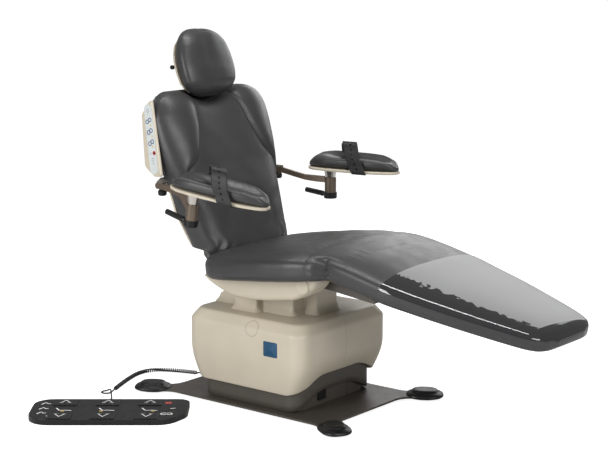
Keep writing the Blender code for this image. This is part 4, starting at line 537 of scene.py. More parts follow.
leg = {"length": 0.708, "half": 0.272, "thick": 0.093, "rear": -0.1161, "under": 0.0520, "lean": 0.60,
       "kneeAtEnd": False, "rows": 210, "count": 260, "square": 2.9, "droop": 0.0, "bulge": (0.003, 0.004),
       "gatherAt": -0.1221, "gatherRise": (0.06, 0.10), "folds": (140, 2.2, 41, 1),
       "ripple": (0.0005, 34, 30, 3), "rippleRise": (0.07, 0.12)}
leg["stations"] = (
    (0.0, 0.93, 0.06, 0.84, 0.03), (0.02, 0.975, 0.01, 0.98, 0.05), (0.07, 0.995, 0.0, 1.03, 0.07),
    (0.27, 1.0, 0.0, 0.97, 0.09), (0.42, 0.945, 0.0, 0.91, 0.09), (0.57, 0.868, 0.0, 0.87, 0.09),
    (0.7, 0.785, 0.0, 0.82, 0.08), (0.81, 0.705, 0.0, 0.78, 0.07), (0.9, 0.63, 0.0, 0.74, 0.06),
    (0.955, 0.555, 0.02, 0.69, 0.04), (0.985, 0.45, 0.08, 0.6, 0.02), (1.0, 0.31, 0.18, 0.48, 0.0),
)
section = {"squareUnder": 6.0, "panEdge": (0.238, 0.272), "fade": 0.08, "gatherWide": 0.030, "gatherHigh": 0.0014}
gusset = {"seatShare": 0.915, "legShare": 0.075, "past": 20, "rows": 40, "drop": 0.03, "side": (0.235, 0.275),
          "proud": 0.0012, "sink": 0.0240, "fold": 0.0028, "cross": 0.0010}


def cushion(name, points, place, node, body):
    piece = faceOut(gridPiece(name, moved(points, place), mats["vinyl"], caps=True))
    return settle(piece, node, body=body, slot="charcoal_upholstery")


def padRows(pad, shares, grow=0.0):
    # Sections along the pad, leaning with height near the knee, where it meets its neighbour.
    thick, under, fade = pad["thick"], pad["under"], section["fade"]
    rows = []
    for share, (wide, low, high, crown) in zip(shares, curveAt(pad["stations"], shares)):
        x, z = padRing(pad["half"] * wide + grow, under + thick * low - grow, under + thick * high + grow,
                       thick * crown, pad["count"], pad["square"], section["squareUnder"])
        # Sides outside the pan hang lower, most at the bottom.
        z = z - pad["droop"] * rise(np.abs(x), *section["panEdge"]) * np.clip(1 - (z - under) / thick, 0, 1)
        atKnee = max(0.0, 1 - (1 - share if pad["kneeAtEnd"] else share) / fade)
        rows.append(columns(x, pad["rear"] - pad["length"] * share + pad["lean"] * (z - under) * atKnee, z))
    return np.array(rows)


def longCushion(pad, name, place, node, body):
    # Gathers across the end at the knee are sines of a swaying pitch. The top ripples faintly, and a seam sinks
    # into the sides of the seat.
    first, last = pad["bulge"]
    points = closedEnds(padRows(pad, easedShares(pad["rows"])), (0, first, 0), (0, -last, 0))
    x, y, z = np.moveaxis(points, -1, 0)
    pitch, sway, beat, phase = pad["folds"]
    high, across, along, seed = pad["ripple"]
    gather = bump(y, pad["gatherAt"], section["gatherWide"]) * rise(z, *pad["gatherRise"])
    lift = section["gatherHigh"] * gather * np.sin(x * pitch + sway * np.sin(x * beat + phase))
    lift = lift + high * ripple(x * across, y * along, seed) * rise(z, *pad["rippleRise"])
    if "seam" in pad:
        depth, height, width = pad["seam"]
        lift = lift - depth * bump(z, height, width) * rise(np.abs(x), *pad["seamOut"]) * rise(y, *pad["seamEnd"])
    return cushion(name, points + gridNormals(points) * lift[..., None], place, node, body)


def kneeGusset():
    # Vinyl over the knee: cubic curves that leave the seat and reach the leg along the pads, gathered and sunk at
    # the sides.
    pick = np.arange(-gusset["past"], seat["count"] // 2 + gusset["past"] + 1)
    near = moved(padRows(seat, [gusset["seatShare"]])[0], seatPlane)[pick]
    far = moved(padRows(leg, [gusset["legShare"]])[0], legPlane)[pick]
    span = np.linalg.norm(far - near, axis=1).mean()
    t = np.linspace(0, 1, gusset["rows"])[:, None, None]
    points = cubic(near, -seatPlane[:3, 1] * span, far, -legPlane[:3, 1] * span, t)
    inward = (near.mean(0) + far.mean(0)) / 2 - (0, 0, gusset["drop"]) - (near + far) / 2
    inward[:, 1] = 0
    inward = unit(inward)
    x, z = points[..., 0:1], points[..., 2:3]
    sink = gusset["sink"] * bump(t, 0.5, 0.24)
    fold = gusset["fold"] * np.sin(310 * z + 9 * t) * bump(t, 0.5, 0.28)
    cross = gusset["cross"] * np.sin(t * 30 + 60 * z) * bump(t, 0.5, 0.25)
    side = rise(np.abs(x), *gusset["side"])
    points = points + inward * ((sink + fold + cross) * side - gusset["proud"] * np.sin(math.pi * t))
    piece = faceOut(gridPiece("knee_gusset", points, mats["vinyl"], loop=False))
    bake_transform(piece)


longCushion(seat, "seat_pad", seatPlane, "seat_cushion", "seat")
longCushion(leg, "leg_pad", legPlane, "leg_cushion", "leg")
kneeGusset()
print("seat and leg done")


# Back cushion

back = {"rear": 0.026, "foot": 0.014, "lip": 0.004, "top": 0.591, "dip": 0.045, "half": 0.272, "depth": 0.082,
        "curl": 0.045, "curlTop": 0.33, "puff": 0.015, "rows": 200, "columns": 200, "power": 0.62, "edge": 0.10,
        "edgeWeight": 0.35, "over": 0.13, "overPower": 2.8, "overEdge": 0.12, "wallSteps": 9, "bulge": 0.007}
back["width"] = (
    (0.0, 0.66), (0.02, 0.7), (0.055, 0.735), (0.1, 0.76), (0.145, 0.78), (0.25, 0.825), (0.4, 0.885),
    (0.64, 0.98), (0.773, 1.012), (0.858, 1.018), (0.92, 0.99), (0.96, 0.945), (1.0, 0.83),
)
back["fore"] = ((0.0, 0.93), (0.12, 1.0), (0.525, 0.94), (0.762, 0.74), (0.953, 0.45), (1.0, 0.37))
back["dome"] = ((0.0, 0.62), (0.02, 0.86), (0.06, 1.0), (1.0, 1.0))
back["line"] = ((0.0, -0.020), (0.055, -0.020), (0.10, 0.026), (1.0, 0.026))
# The seam beside each bolster, as height and distance from the middle.
back["seam"] = ((0.20, 0.240), (0.31, 0.222), (0.36, 0.172), (0.41, 0.146), (0.46, 0.127), (0.51, 0.116),
                (0.56, 0.100), (0.60, 0.085))


def backCushion():
    # The middle panel follows the depth table. Each bolster adds a half sine from its seam to the edge.
    f = easedShares(back["rows"])[:, None]
    # Across, the edge rounds off along a superellipse, stepped evenly along its length.
    turn = np.linspace(-1, 1, 4001) * math.pi / 2
    fall = back["edge"] + (1 - back["edge"]) * np.maximum(np.cos(turn), 0) ** back["power"]
    profile = columns(signedPower(np.sin(turn), back["power"]), back["edgeWeight"] * fall)
    s, edge = evenSteps(profile, back["columns"])[0].T
    edge = edge / back["edgeWeight"]
    half = back["half"] * curveAt(back["width"], f)
    fore = back["depth"] * curveAt(back["fore"], f)
    # The top rounds off along a superellipse over its last share, and dips in the middle and at the corners.
    over = np.clip((f - 1 + back["over"]) / back["over"], 0, 1) ** back["overPower"]
    rounded = back["overEdge"] + (1 - back["overEdge"]) * (1 - over) ** (1 / back["overPower"])
    dome = curveAt(back["dome"], f) * rounded
    dip = np.maximum(0, 1 - (s / 0.72) ** 2) ** 2 + 0.3 * np.maximum(0, (np.abs(s) - 0.8) / 0.2) ** 2
    z = back["foot"] + f * (back["top"] - back["dip"] * dip - back["foot"])
    x = half * s
    seamX = curveAt(back["seam"], z)
    share = np.clip((np.abs(x) - seamX) / np.maximum(half - seamX, 0.02), 0, 1)
    puff = np.sin(math.pi * share ** 0.75) ** 0.9 * rise(z, 0.20, 0.40)
    crease = bump(np.abs(x), seamX, 0.0036) * rise(z, 0.24, 0.33) * (1 - rise(z, 0.555, 0.58))
    valley = bump(np.abs(x), seamX, 0.015) * rise(z, 0.26, 0.38) * (1 - rise(z, 0.54, 0.58))
    lumbar = bump(np.hypot(x / 1.15, z - 0.14), 0.098, 0.012) * rise(z, 0.07, 0.14)
    belly = bump(np.hypot(x / 1.3, z - 0.17), 0.0, 0.075)
    gather = bump(z, back["foot"] + 0.030, 0.040) * rise(np.abs(x), 0.09, 0.17)
    depth = (fore + back["rear"]) * edge * dome + back["puff"] * puff * dome
    depth = depth - 0.0024 * crease - 0.0015 * valley - 0.0020 * lumbar + 0.0030 * belly
    depth = depth + 0.0022 * gather * np.sin(x * 150 + 2 * np.sin(z * 70)) + 0.0005 * ripple(x * 40, z * 30, 4)
    # The lower part curls forwards, and its rear edge draws in towards the shell.
    curl = np.clip(1 - z / back["curlTop"], 0, 1) ** 1.25
    line = curveAt(back["line"], f)
    y = np.minimum(back["rear"] - depth, line - back["lip"]) - back["curl"] * curl
    frontGrid = columns(x, y, z)
    rearGrid = columns(x * (0.985 - 0.16 * curl), line, z)
    # Walls bulged by a half sine join the front to the rear.
    t = np.linspace(0, 1, back["wallSteps"])[None, 1:-1, None]
    bulge = np.array([back["bulge"], 0, 0]) * np.sin(math.pi * t)
    farWall = frontGrid[:, -1:] * (1 - t) + rearGrid[:, -1:] * t + bulge
    nearWall = rearGrid[:, :1] * (1 - t) + frontGrid[:, :1] * t - bulge
    points = np.concatenate([frontGrid, farWall, rearGrid[:, ::-1], nearWall], 1)
    # The top closes over towards the middle of its thickness along a quarter circle.
    x, y, z = points[-1].T
    middle = (frontGrid[-1, :, 1].mean() + back["rear"]) / 2
    turn = np.linspace(0, math.pi / 2, capSteps + 1)[1:, None]
    y = middle + (y - middle) * np.maximum(np.cos(turn), capLeast)
    shut = columns(x, y, z + 0.003 * np.sin(turn))
    cushion("back_pad", np.concatenate([points, shut]), backPlane, "back_cushion", "back")


backCushion()
print("back done")


# Headrest

# Stations give the share of the height, then the width and the depth.
head = {"foot": 0.556, "height": 0.232, "half": 0.125, "crown": 0.008, "front": 0.0532, "rear": 0.0168,
        "rows": 130, "count": 200, "square": 2.8, "bulge": 0.003}
head["stations"] = (
    (0.0, 0.46, 0.3), (0.03, 0.66, 0.56), (0.09, 0.82, 0.79), (0.2, 0.955, 0.94), (0.38, 1.0, 1.0),
    (0.56, 0.985, 1.0), (0.71, 0.915, 1.0), (0.84, 0.78, 0.92), (0.93, 0.585, 0.74), (0.98, 0.4, 0.5),
    (1.0, 0.26, 0.28),
)


def headCushion():
    # Rounded sections up the headrest, with two shallow channels down its front.
    rows = []
    shares = easedShares(head["rows"])
    for share, (wide, deep) in zip(shares, curveAt(head["stations"], shares)):
        x, y = padRing(head["half"] * wide, -head["rear"], head["front"] * deep - head["rear"] * (1 - deep),
                       head["crown"] * deep, head["count"], head["square"], head["square"])
        rows.append(columns(x, -y, head["foot"] + head["height"] * share))
    points = closedEnds(np.array(rows), (0, 0, -head["bulge"]), (0, 0, head["bulge"]))
    n = gridNormals(points)
    n = n * np.sign(np.einsum("ijk,ijk->ij", n, points - points.mean((0, 1))).mean())
    x, y, z = np.moveaxis(points, -1, 0)
    front = rise(-y, 0.0, 0.035)
    channel = (bump(x, -0.018, 0.022) + bump(x, 0.062, 0.026)) * rise(z, 0.60, 0.66) * (1 - rise(z, 0.74, 0.775))
    lift = (0.0005 * ripple(x * 60, z * 50, 1) - 0.0013 * channel) * front
    cushion("headrest_pad", points + n * lift[..., None], headPlane, "headrest_cushion", "headrest")


headCushion()
print("headrest done")


# Arm pads and straps

arm = {"rear": 0.075, "length": 0.336, "half": 0.056, "tray": 0.0095, "rim": 0.003, "thick": 0.046,
       "trough": 0.013, "scoop": 0.0095, "rows": 130, "count": 170, "square": (2.9, 3.2), "bulge": 0.002,
       "slant": {"right": 0.012, "left": 0.020}}
arm["plan"] = ((0.0, 0.30), (0.03, 0.56), (0.10, 0.82), (0.24, 0.97), (0.42, 1.00), (0.62, 0.97), (0.80, 0.84),
               (0.92, 0.62), (0.98, 0.40), (1.0, 0.22))
arm["swell"] = ((0.0, 0.35), (0.10, 0.86), (0.3, 1.0), (0.75, 1.0), (0.93, 0.75), (1.0, 0.3))
arm["dish"] = ((0.0, 0.0), (0.12, 0.2), (0.4, 1.0), (0.8, 1.0), (1.0, 0.0))
strap = {"ahead": 0.146, "width": 0.056, "thick": 0.0025, "clear": 0.0024, "rise": 0.050, "lean": 0.50,
         "leanTop": 0.13, "slant": 0.080, "hole": 0.0034, "pitch": 0.0165, "firstHole": 0.012, "rim": 0.0016,
         "pierceFrom": 0.004,
         "rows": 320, "columns": 29, "corner": (0.004, 0.006), "middle": 0.045}
strap["over"] = ((-1.00, 0.0), (-0.95, 0.50), (-0.82, 0.86), (-0.64, 1.00), (-0.48, 1.00), (-0.15, 0.86),
                 (0.30, 0.72), (0.70, 0.64), (0.93, 0.42), (1.00, 0.12))


def armPad(side):
    # Rounded sections with a scooped top, lifted towards the far side.
    low, thick, slant = arm["tray"] + fit, arm["thick"], arm["slant"][side]
    shares = easedShares(arm["rows"])
    rows = []
    tables = (curveAt(arm[word], shares) for word in ("plan", "swell", "dish"))
    for share, wide, swell, dish in zip(shares, *tables):
        half = arm["half"] * wide
        x, z = padRing(half, low, low + thick * swell, -arm["trough"] * dish, arm["count"], *arm["square"])
        z = z + slant * wide / (2 * thick) * (x / half + 1) * (z - low)
        z = z - arm["scoop"] * dish * bump(x, 0.004, 0.030) * rise(z, low + 0.012, low + 0.030)
        rows.append(columns(x, arm["rear"] - arm["length"] * share, z))
    points = closedEnds(np.array(rows), (0, arm["bulge"], 0), (0, -arm["bulge"], 0))
    cushion(f"arm_pad_cover_{side}", points, boardPlanes[side], f"arm_pad_{side}", f"arm_board_{side}")


def strapPath(low, bend):
    # Closed loop across the board: under the tray, up the near side, over the pad and down the far side.
    reach = arm["half"] + arm["rim"] + strap["clear"] + strap["thick"]
    top = arm["tray"] + arm["thick"] + strap["rise"]
    inset, lift = strap["corner"]
    nearSide = [(-reach * 0.7, low), (-reach + inset, low), (-reach, low + lift), (-reach, bend * 0.5)]
    over = [(reach * share, bend + up * (top - bend)) for share, up in strap["over"]]
    p = np.array([(0.0, low), *nearSide, *over, *((-x, z) for x, z in nearSide[::-1])])
    fine = throughPoints(np.concatenate([p[-1:], p, p[:2]]), 20)
    return evenSteps(np.concatenate([fine, fine[:1]]), strap["rows"], closed=True)


def armStrap(side):
    # A perforated band: outer and inner skins. Along its middle, faces are left out and the rims of the holes are
    # drawn to circles.
    hole, width, pitch = strap["hole"], strap["width"], strap["pitch"]
    low = -fit - strap["thick"] / 2
    bend = (arm["tray"] + arm["thick"]) * 0.9
    loop, at = strapPath(low, bend)
    x, z = loop.T
    tangent = unit(np.roll(loop, -1, 0) - np.roll(loop, 1, 0))
    out = columns(-tangent[:, 1], tangent[:, 0])
    out *= np.sign((out * (loop - (0, strap["middle"]))).sum())
    s, v = np.meshgrid(at, np.linspace(-0.5, 0.5, strap["columns"]) * width, indexing="ij")
    pierced = at[(x < 0) & (z > strap["pierceFrom"]) | (z > bend)]
    first = pierced.min() + strap["firstHole"]
    spots = first + np.arange(int((pierced.max() - first) / pitch)) * pitch
    nearest = spots[np.abs(s[..., None] - spots).argmin(-1)]
    far = np.hypot(s - nearest, v)
    draw = np.where((far > 0.45 * hole) & (far < 1.5 * hole), hole / np.maximum(far, 1e-6), 1.0)
    newS, newV = nearest + (s - nearest) * draw, v * draw
    loopX, loopZ = (np.interp(newS, np.append(at, at[-1] + at[1]), np.append(c, c[0])) for c in (x, z))
    outX, outZ = (np.interp(newS, at, column) for column in out.T)
    # The band leans back as it climbs, and also as it crosses to the far side.
    lean = strap["lean"] * (np.minimum(loopZ, bend) - low) + strap["leanTop"] * np.maximum(0, loopZ - bend)
    middle = strap["slant"] * (loopX / np.abs(x).max() + 1) / 2 - strap["ahead"] + lean
    thin = 1 - 0.8 * rise(np.abs(newV), 0.5 * width - strap["rim"], 0.5 * width)
    skins = []
    for offset in (0.5, -0.5):
        thick = strap["thick"] * offset * thin
        skins.append(columns(loopX + outX * thick, middle + newV, loopZ + outZ * thick).reshape(-1, 3))
    rows, cols = s.shape
    total = rows * cols
    faces = gridFaces(rows + 1, cols, loop=False) % total
    kept = faces[far.reshape(-1)[faces].mean(1) > 0.86 * hole]
    rim = []
    for j in (0, cols - 1):
        a = np.arange(rows) * cols + j
        b = np.roll(a, -1)
        rim.append(np.stack([a, b, b + total, a + total], 1))
    allFaces = np.concatenate([kept, kept[:, ::-1] + total, *rim]).tolist()
    verts = moved(np.concatenate(skins), boardPlanes[side])
    piece = meshObject(f"arm_strap_band_{side}", verts, allFaces, mats["rubber"])
    settle(piece, f"arm_strap_{side}", body=f"arm_board_{side}", slot="strap_rubber")


for side in ("right", "left"):
    armPad(side)
    armStrap(side)
print("arms done")


# Pedestal

# Ridge, deck and hem give half the width, half the length and the height.
cover = {"ridge": (0.238, 0.248, 0.278), "deck": (0.213, 0.229, 0.311), "hem": (0.220, 0.224, 0.074),
         "hemRear": 0.238, "belly": 0.195, "arch": 0.127, "flat": 0.085, "radius": 0.052, "hemRadius": 0.062,
         "notch": 0.098, "notchRadius": 0.012, "wall": 0.004, "lip": 0.001, "parting": 0.0016}
skirt = {"half": 0.204, "radius": 0.045, "top": 0.288, "foot": 0.0138, "arch": 0.066, "flat": 0.060,
         "wall": 0.004, "lip": 0.001}
# How far the inside of a hem is drawn up.
insideRise = 0.030


def halfLoop(halfX, halfY, radius, gap=fit):
    # Half of a rounded rectangle on the right, from the middle of its front to the middle of its rear.
    sx, sy = halfX - radius, halfY - radius
    out = np.linspace(0, 1, 37) ** 1.5
    turn = np.linspace(0, math.pi / 2, 34, endpoint=False)
    x = -gap - (sx - gap) * out
    front = columns(x, -halfY)[:-1]
    corner = columns(-sx - radius * np.sin(turn), -sy - radius * np.cos(turn))
    side = columns(-halfX, np.linspace(-sy, sy, 60, endpoint=False))
    rear = columns(-sx - radius * np.cos(turn), sy + radius * np.sin(turn))
    last = columns(x, halfY)[::-1]
    return np.concatenate([front, corner, side, rear, last])


def hemHeight(xy, halfX, halfY, radius, low, high, flat):
    # Low along the sides, then an S by distance round the corner up to the height along the ends.
    quarter = radius * math.pi / 2
    across = halfX - radius - np.abs(xy[:, 0])
    along = np.abs(xy[:, 1]) - halfY + radius
    corner = radius * np.arctan2(np.maximum(along, 0), np.maximum(-across, 1e-9))
    run = np.where(across > 0, quarter + across, corner)
    s = np.clip(run / (quarter + halfX - radius - flat), 0, 1)
    return np.where(along <= 0, low, low + (high - low) * (3 * s * s - 2 * s ** 3))


def softened(rows, width, keep):
    # Running mean down the rows, which rounds the corners of the profile; the first rows and the last stay.
    pad = np.concatenate([np.repeat(rows[:1], width, 0), rows, np.repeat(rows[-1:], width, 0)])
    total = sum(pad[k:k + len(rows)] for k in range(2 * width + 1)) / (2 * width + 1)
    total[:keep], total[-1] = rows[:keep], rows[-1]
    return total


def atHeight(xy, z):
    return columns(*xy.T, z)


def coverHalf(name, sign):
    # Profile up each column: hem lip, bellied side along a quarter sine, soft ridge, chamfer, deck.
    ridgeX, ridgeY, ridgeZ = cover["ridge"]
    deckX, deckY, deckZ = cover["deck"]
    hemX, hemY, hemZ = cover["hem"]
    ridge = halfLoop(ridgeX, ridgeY, cover["radius"])
    deck = halfLoop(deckX, deckY, cover["radius"])
    hem = halfLoop(hemX, hemY, cover["hemRadius"])
    notch = halfLoop(cover["notch"], cover["notch"], cover["notchRadius"])
    zHem = hemHeight(hem, hemX, hemY, cover["hemRadius"], hemZ, cover["arch"], cover["flat"])
    hem[:, 1] = np.where(hem[:, 1] > 0, hem[:, 1] * cover["hemRear"] / hemY, hem[:, 1])
    inner = hem * (1 - cover["wall"] / hemX)
    foot, belly = zHem + cover["lip"], cover["belly"]
    rows = [atHeight(inner, zHem + insideRise), atHeight(inner, zHem + 0.0015), atHeight((inner + hem) / 2, zHem)]
    rows += [atHeight(hem + (ridge - hem) * math.sin(s * math.pi / 2), foot + (belly - foot) * s)
             for s in np.linspace(0, 1, 36)]
    for start, end, low, high, count in ((ridge, ridge, belly, ridgeZ, 26), (ridge, deck, ridgeZ, deckZ, 14),
                                         (deck, notch, deckZ, deckZ, 40)):
        rows += [atHeight(start + (end - start) * s, low + (high - low) * s) for s in np.linspace(0, 1, count)[1:]]
    points = softened(np.array(rows), 2, keep=4)
    # The halves draw in a little where they part.
    points[3:, [0, -1], 1] *= 1 - cover["parting"] / 0.24
    points[..., 0] *= -sign
    piece = faceOut(gridPiece(f"{name}_shell", points, mats["cover"], loop=False))
    settle(piece, name, body="lift", slot="beige_moulding")


for name, sign in (("cover_right", -1), ("cover_left", 1)):
    coverHalf(name, sign)


def midSkirt():
    # A rounded square loop drawn straight up from an arched hem.
    half, top = skirt["half"], skirt["top"]
    right = halfLoop(half, half, skirt["radius"], 0.0)
    loop = np.concatenate([right, (right * (-1, 1))[-2:0:-1]])
    low = hemHeight(loop, half, half, skirt["radius"], skirt["foot"], skirt["arch"], skirt["flat"])
    inner = loop * (1 - skirt["wall"] / half)
    rows = [atHeight(inner, low + insideRise), atHeight(inner, low + skirt["lip"]),
            atHeight((inner + loop) / 2, low), atHeight(loop, low + skirt["lip"])]
    rows += [atHeight(loop, low + (top - low) * s) for s in np.linspace(0, 1, 14)[1:]]
    rows.append(atHeight(inner, top))
    piece = faceOut(gridPiece("mid_skirt_shell", np.array(rows), mats["skirt"]))
    settle(piece, "mid_skirt", body="mid", slot="skirt_moulding")


midSkirt()

neck = {"half": 0.116, "front": 0.116, "rear": 0.106, "block": (0.150, 0.011), "nose": (0.056, 0.168),
        "tail": (0.094, 0.222), "foot": 0.3113, "top": 0.402, "tailTop": 0.335, "flare": 0.016,
        "flareRise": 0.030, "corner": 0.010, "columns": 420}


def roundedOutline(corners, radius, steps):
    # Each corner becomes a quadratic curve between points one radius before and after it.
    p = np.array(corners, float)
    a = p + unit(np.roll(p, 1, 0) - p) * radius
    b = p + unit(np.roll(p, -1, 0) - p) * radius
    s = np.linspace(0, 1, steps)[None, :, None]
    return (a[:, None] * (1 - s) ** 2 + p[:, None] * 2 * s * (1 - s) + b[:, None] * s ** 2).reshape(-1, 2)


def neckShroud():
    # The outline of blocks, nose and tail, flared at its foot and cut off by the slope of the tail.
    (noseX, noseY), (blockX, blockY), (tailX, tailY) = neck["nose"], neck["block"], neck["tail"]
    side, front, rear, foot = neck["half"], neck["front"], neck["rear"], neck["foot"]
    half = [(noseX, -noseY), (noseX, -front), (side, -front), (side, blockY), (blockX, blockY), (blockX, rear),
            (tailX, rear), (tailX, tailY)]
    outline = roundedOutline(half + [(-x, y) for x, y in half[::-1]], neck["corner"], 9)
    loop = evenSteps(np.concatenate([outline, outline[:1]]), neck["columns"], closed=True)[0]
    tangent = unit(np.roll(loop, -3, 0) - np.roll(loop, 3, 0))
    normal = columns(tangent[:, 1], -tangent[:, 0])
    share = np.clip((loop[:, 1] - rear) / (tailY - rear), 0, 1)
    top = neck["top"] + (neck["tailTop"] - neck["top"]) * share
    rows = []
    for s in np.linspace(0, 1, 30):
        z = foot + (top - foot) * s ** 1.4
        spread = neck["flare"] * np.clip(1 - (z - foot) / neck["flareRise"], 0, 1) ** 2.4
        rows.append(atHeight(loop + normal * spread[:, None], z))
    rows += [atHeight(loop * 0.93, top), atHeight(loop * 0.2, top)]
    piece = faceOut(gridPiece("neck_cover", np.array(rows), mats["beige"]))
    settle(piece, "neck_shroud", body="lift", slot="beige_moulding")


neckShroud()

pan = {"inner": 0.1603, "width": 0.074, "boss": 0.0255, "proud": 0.004, "gap": 0.0004, "shrink": 0.24}
pan["keel"] = ((-0.306, 0.0), (-0.304, 0.014), (-0.290, 0.035), (-0.253, 0.058), (-0.196, 0.075),
               (-0.081, 0.079), (0.039, 0.070), (0.100, 0.046), (0.150, 0.019), (0.175, 0.0))
# The boss as rings of radius and height, in shares.
pan["rings"] = ((1.0, -0.030), (1.0, 0.35), (0.965, 0.80), (0.90, 1.0), (0.86, 0.93), (0.4, 0.93), (0.02, 0.93))


def panLine(y):
    # The underside of the seat, just below the cushion.
    return seatHeight - y * math.tan(seatLean) - pan["gap"]


def panCheek(name, sign):
    # Boat shaped cheek: the keel line, drawn in along a quarter ellipse towards its outer face.
    y = np.linspace(pan["keel"][0][0], pan["keel"][-1][0], 150)
    deep = curveAt(pan["keel"], y)
    middle = (y[0] + y[-1]) / 2
    rows = []
    for s in np.linspace(0, 1, 26):
        size = 1 - pan["shrink"] * max(0.0, (s - 0.45) / 0.55) ** 2.2
        at = middle + (y - middle) * (1 - (1 - size) * 0.45)
        x = pan["inner"] + pan["width"] * math.sin(s * math.pi / 2)
        rows.append(columns(x, at, panLine(at) - deep * size))
    last = rows[-1]
    lid = columns(last[:, 0], last[:, 1], panLine(last[:, 1]))
    rows += [last + (lid - last) * s for s in np.linspace(0, 1, 12)[1:]]
    points = np.array(rows) * (sign, 1, 1)
    cheek = gridPiece(f"{name}_cheek", points, mats["beige"], loop=False, flip=sign > 0)
    settle(cheek, name, body="seat", slot="beige_moulding")
    turn = np.linspace(0, 2 * math.pi, 64, endpoint=False)
    rings = []
    for share, out in pan["rings"]:
        x = sign * (pan["inner"] + pan["width"] + pan["proud"] * out)
        radius = pan["boss"] * share
        rings.append(columns(x, kneePivot[1] + radius * np.cos(turn), kneePivot[2] + radius * np.sin(turn)))
    disc = gridPiece(f"{name}_boss_cap", np.array(rings), mats["beige"], flip=sign < 0)
    settle(disc, body="seat", slot="beige_moulding")


for name, sign in (("pan_right", -1), ("pan_left", 1)):
    panCheek(name, sign)

cap = {"length": 0.126, "width": 0.100, "height": 0.033, "x": 0.249, "y": 0.390, "angle": math.radians(58),
       "square": 2.6, "inner": (0.44, 0.2, 0.02)}
cap["levels"] = ((0.0, 0.56), (0.22, 0.92), (0.36, 1.00), (0.52, 0.97), (0.66, 0.86), (0.74, 0.74), (0.80, 0.70),
                 (0.90, 0.66), (0.96, 0.60), (1.0, 0.50))


def footCap(name, signX, signY):
    # Low superellipse rings with a raised plateau.
    a = np.linspace(0, 2 * math.pi, 120, endpoint=False)
    x = signedPower(np.cos(a), 2 / cap["square"]) * cap["length"] / 2
    y = signedPower(np.sin(a), 2 / cap["square"]) * cap["width"] / 2
    up = np.linspace(0, 1, 40)
    rings = [*zip(up, curveAt(cap["levels"], up)), *((1.0, share) for share in cap["inner"])]
    rows = [columns(x * share, y * share, cap["height"] * u) for u, share in rings]
    turn = math.atan2(signY * math.sin(cap["angle"]), signX * math.cos(cap["angle"]))
    place = plane((signX * cap["x"], signY * cap["y"], 0), turnZ=turn)
    piece = faceOut(gridPiece(f"{name}_cover", moved(np.array(rows), place), mats["black"], caps=True))
    settle(piece, name, body="base", slot="black_moulding")


for end, signY in (("front", -1), ("rear", 1)):
    for side, signX in (("right", -1), ("left", 1)):
        footCap(f"foot_cap_{end}_{side}", signX, signY)
print("pedestal done")


# Printed marks and small plates

def strokes(lines, width):
    # Each line becomes a row of four-sided pieces of even width.
    verts, faces = [], []
    for line in lines:
        p = np.asarray(line, float)
        along = unit(np.gradient(p, axis=0))
        across = columns(-along[:, 1], along[:, 0]) * width / 2
        a, n = len(verts), len(p)
        verts += [*(p + across), *(p - across)]
        faces += [[i, i + 1, i + n + 1, i + n] for i in range(a, a + n - 1)]
    return np.array(verts), faces


def circle(x, y, radius, count=33):
    a = np.linspace(0, 2 * math.pi, count)
    return columns(x + radius * np.cos(a), y + radius * np.sin(a))


def printed(name, lines, width, colour, place, body, slot):
    # Marks drawn on a plane: place turns two coordinates into points of the part.
    verts, faces = strokes(lines, width)
    settle(meshObject(name, place(verts), faces, mats[colour], smooth=False), body=body, slot=slot)


keypad = {"face": -0.28575, "ring": 0.0062, "pair": (0.0058, 0.003), "dot": 0.0016, "stop": (0.009, -0.046),
          "petal": 0.0017, "petalOut": 0.0042}


def keypadMarks(name, lines, width, colour):
    def place(p):
        return moved(columns(keypad["face"], -p[:, 0], p[:, 1]), keypadPlane)

    printed(f"keypad_{name}", lines, width, colour, place, "back", "keypad_film")


pairX, pairZ = keypad["pair"]
keypadMarks("rings", [circle(x + way * pairX, z + way * pairZ, keypad["ring"])
                      for x, z in ((-0.002, 0.061), (-0.001, 0.026), (0.000, -0.011)) for way in (-1, 1)],
            0.0030, "navy")
keypadMarks("dots", [circle(x, z, keypad["dot"]) for x, z in ((0.006, 0.046), (0.007, 0.010), (0.005, -0.024))],
            0.0032, "yellow")
stopX, stopZ = keypad["stop"]
spots = circle(stopX, stopZ, keypad["petalOut"], 7)[:-1]
petals = [circle(x, z, keypad["petal"]) for x, z in spots]
keypadMarks("stop", petals + [circle(stopX, stopZ, keypad["dot"])], 0.0032, "red")
keypadMarks("signs", [circle(-0.001, 0.094, 0.0050), [(-0.006, 0.081), (0.001, 0.085)],
                      [(-0.010, -0.049), (-0.006, -0.043), (-0.003, -0.050)],
                      [(-0.006, -0.064), (0.006, -0.062)], [(-0.006, -0.070), (0.005, -0.068)],
                      [(-0.004, -0.077), (0.006, -0.075)], [(-0.003, -0.083), (0.004, -0.081)]], 0.0018, "grey")

control = {"top": 0.0186, "pedalTop": 0.0216, "pitch": 0.139, "shift": 0.0125, "arrow": (0.017, 0.062, 0.091)}


def controlMarks(name, lines, width, colour, body="base", lift=control["top"]):
    def place(p):
        return moved(atHeight(p, lift), controlPlane)

    printed(name, lines, width, colour, place, body, "black_moulding")


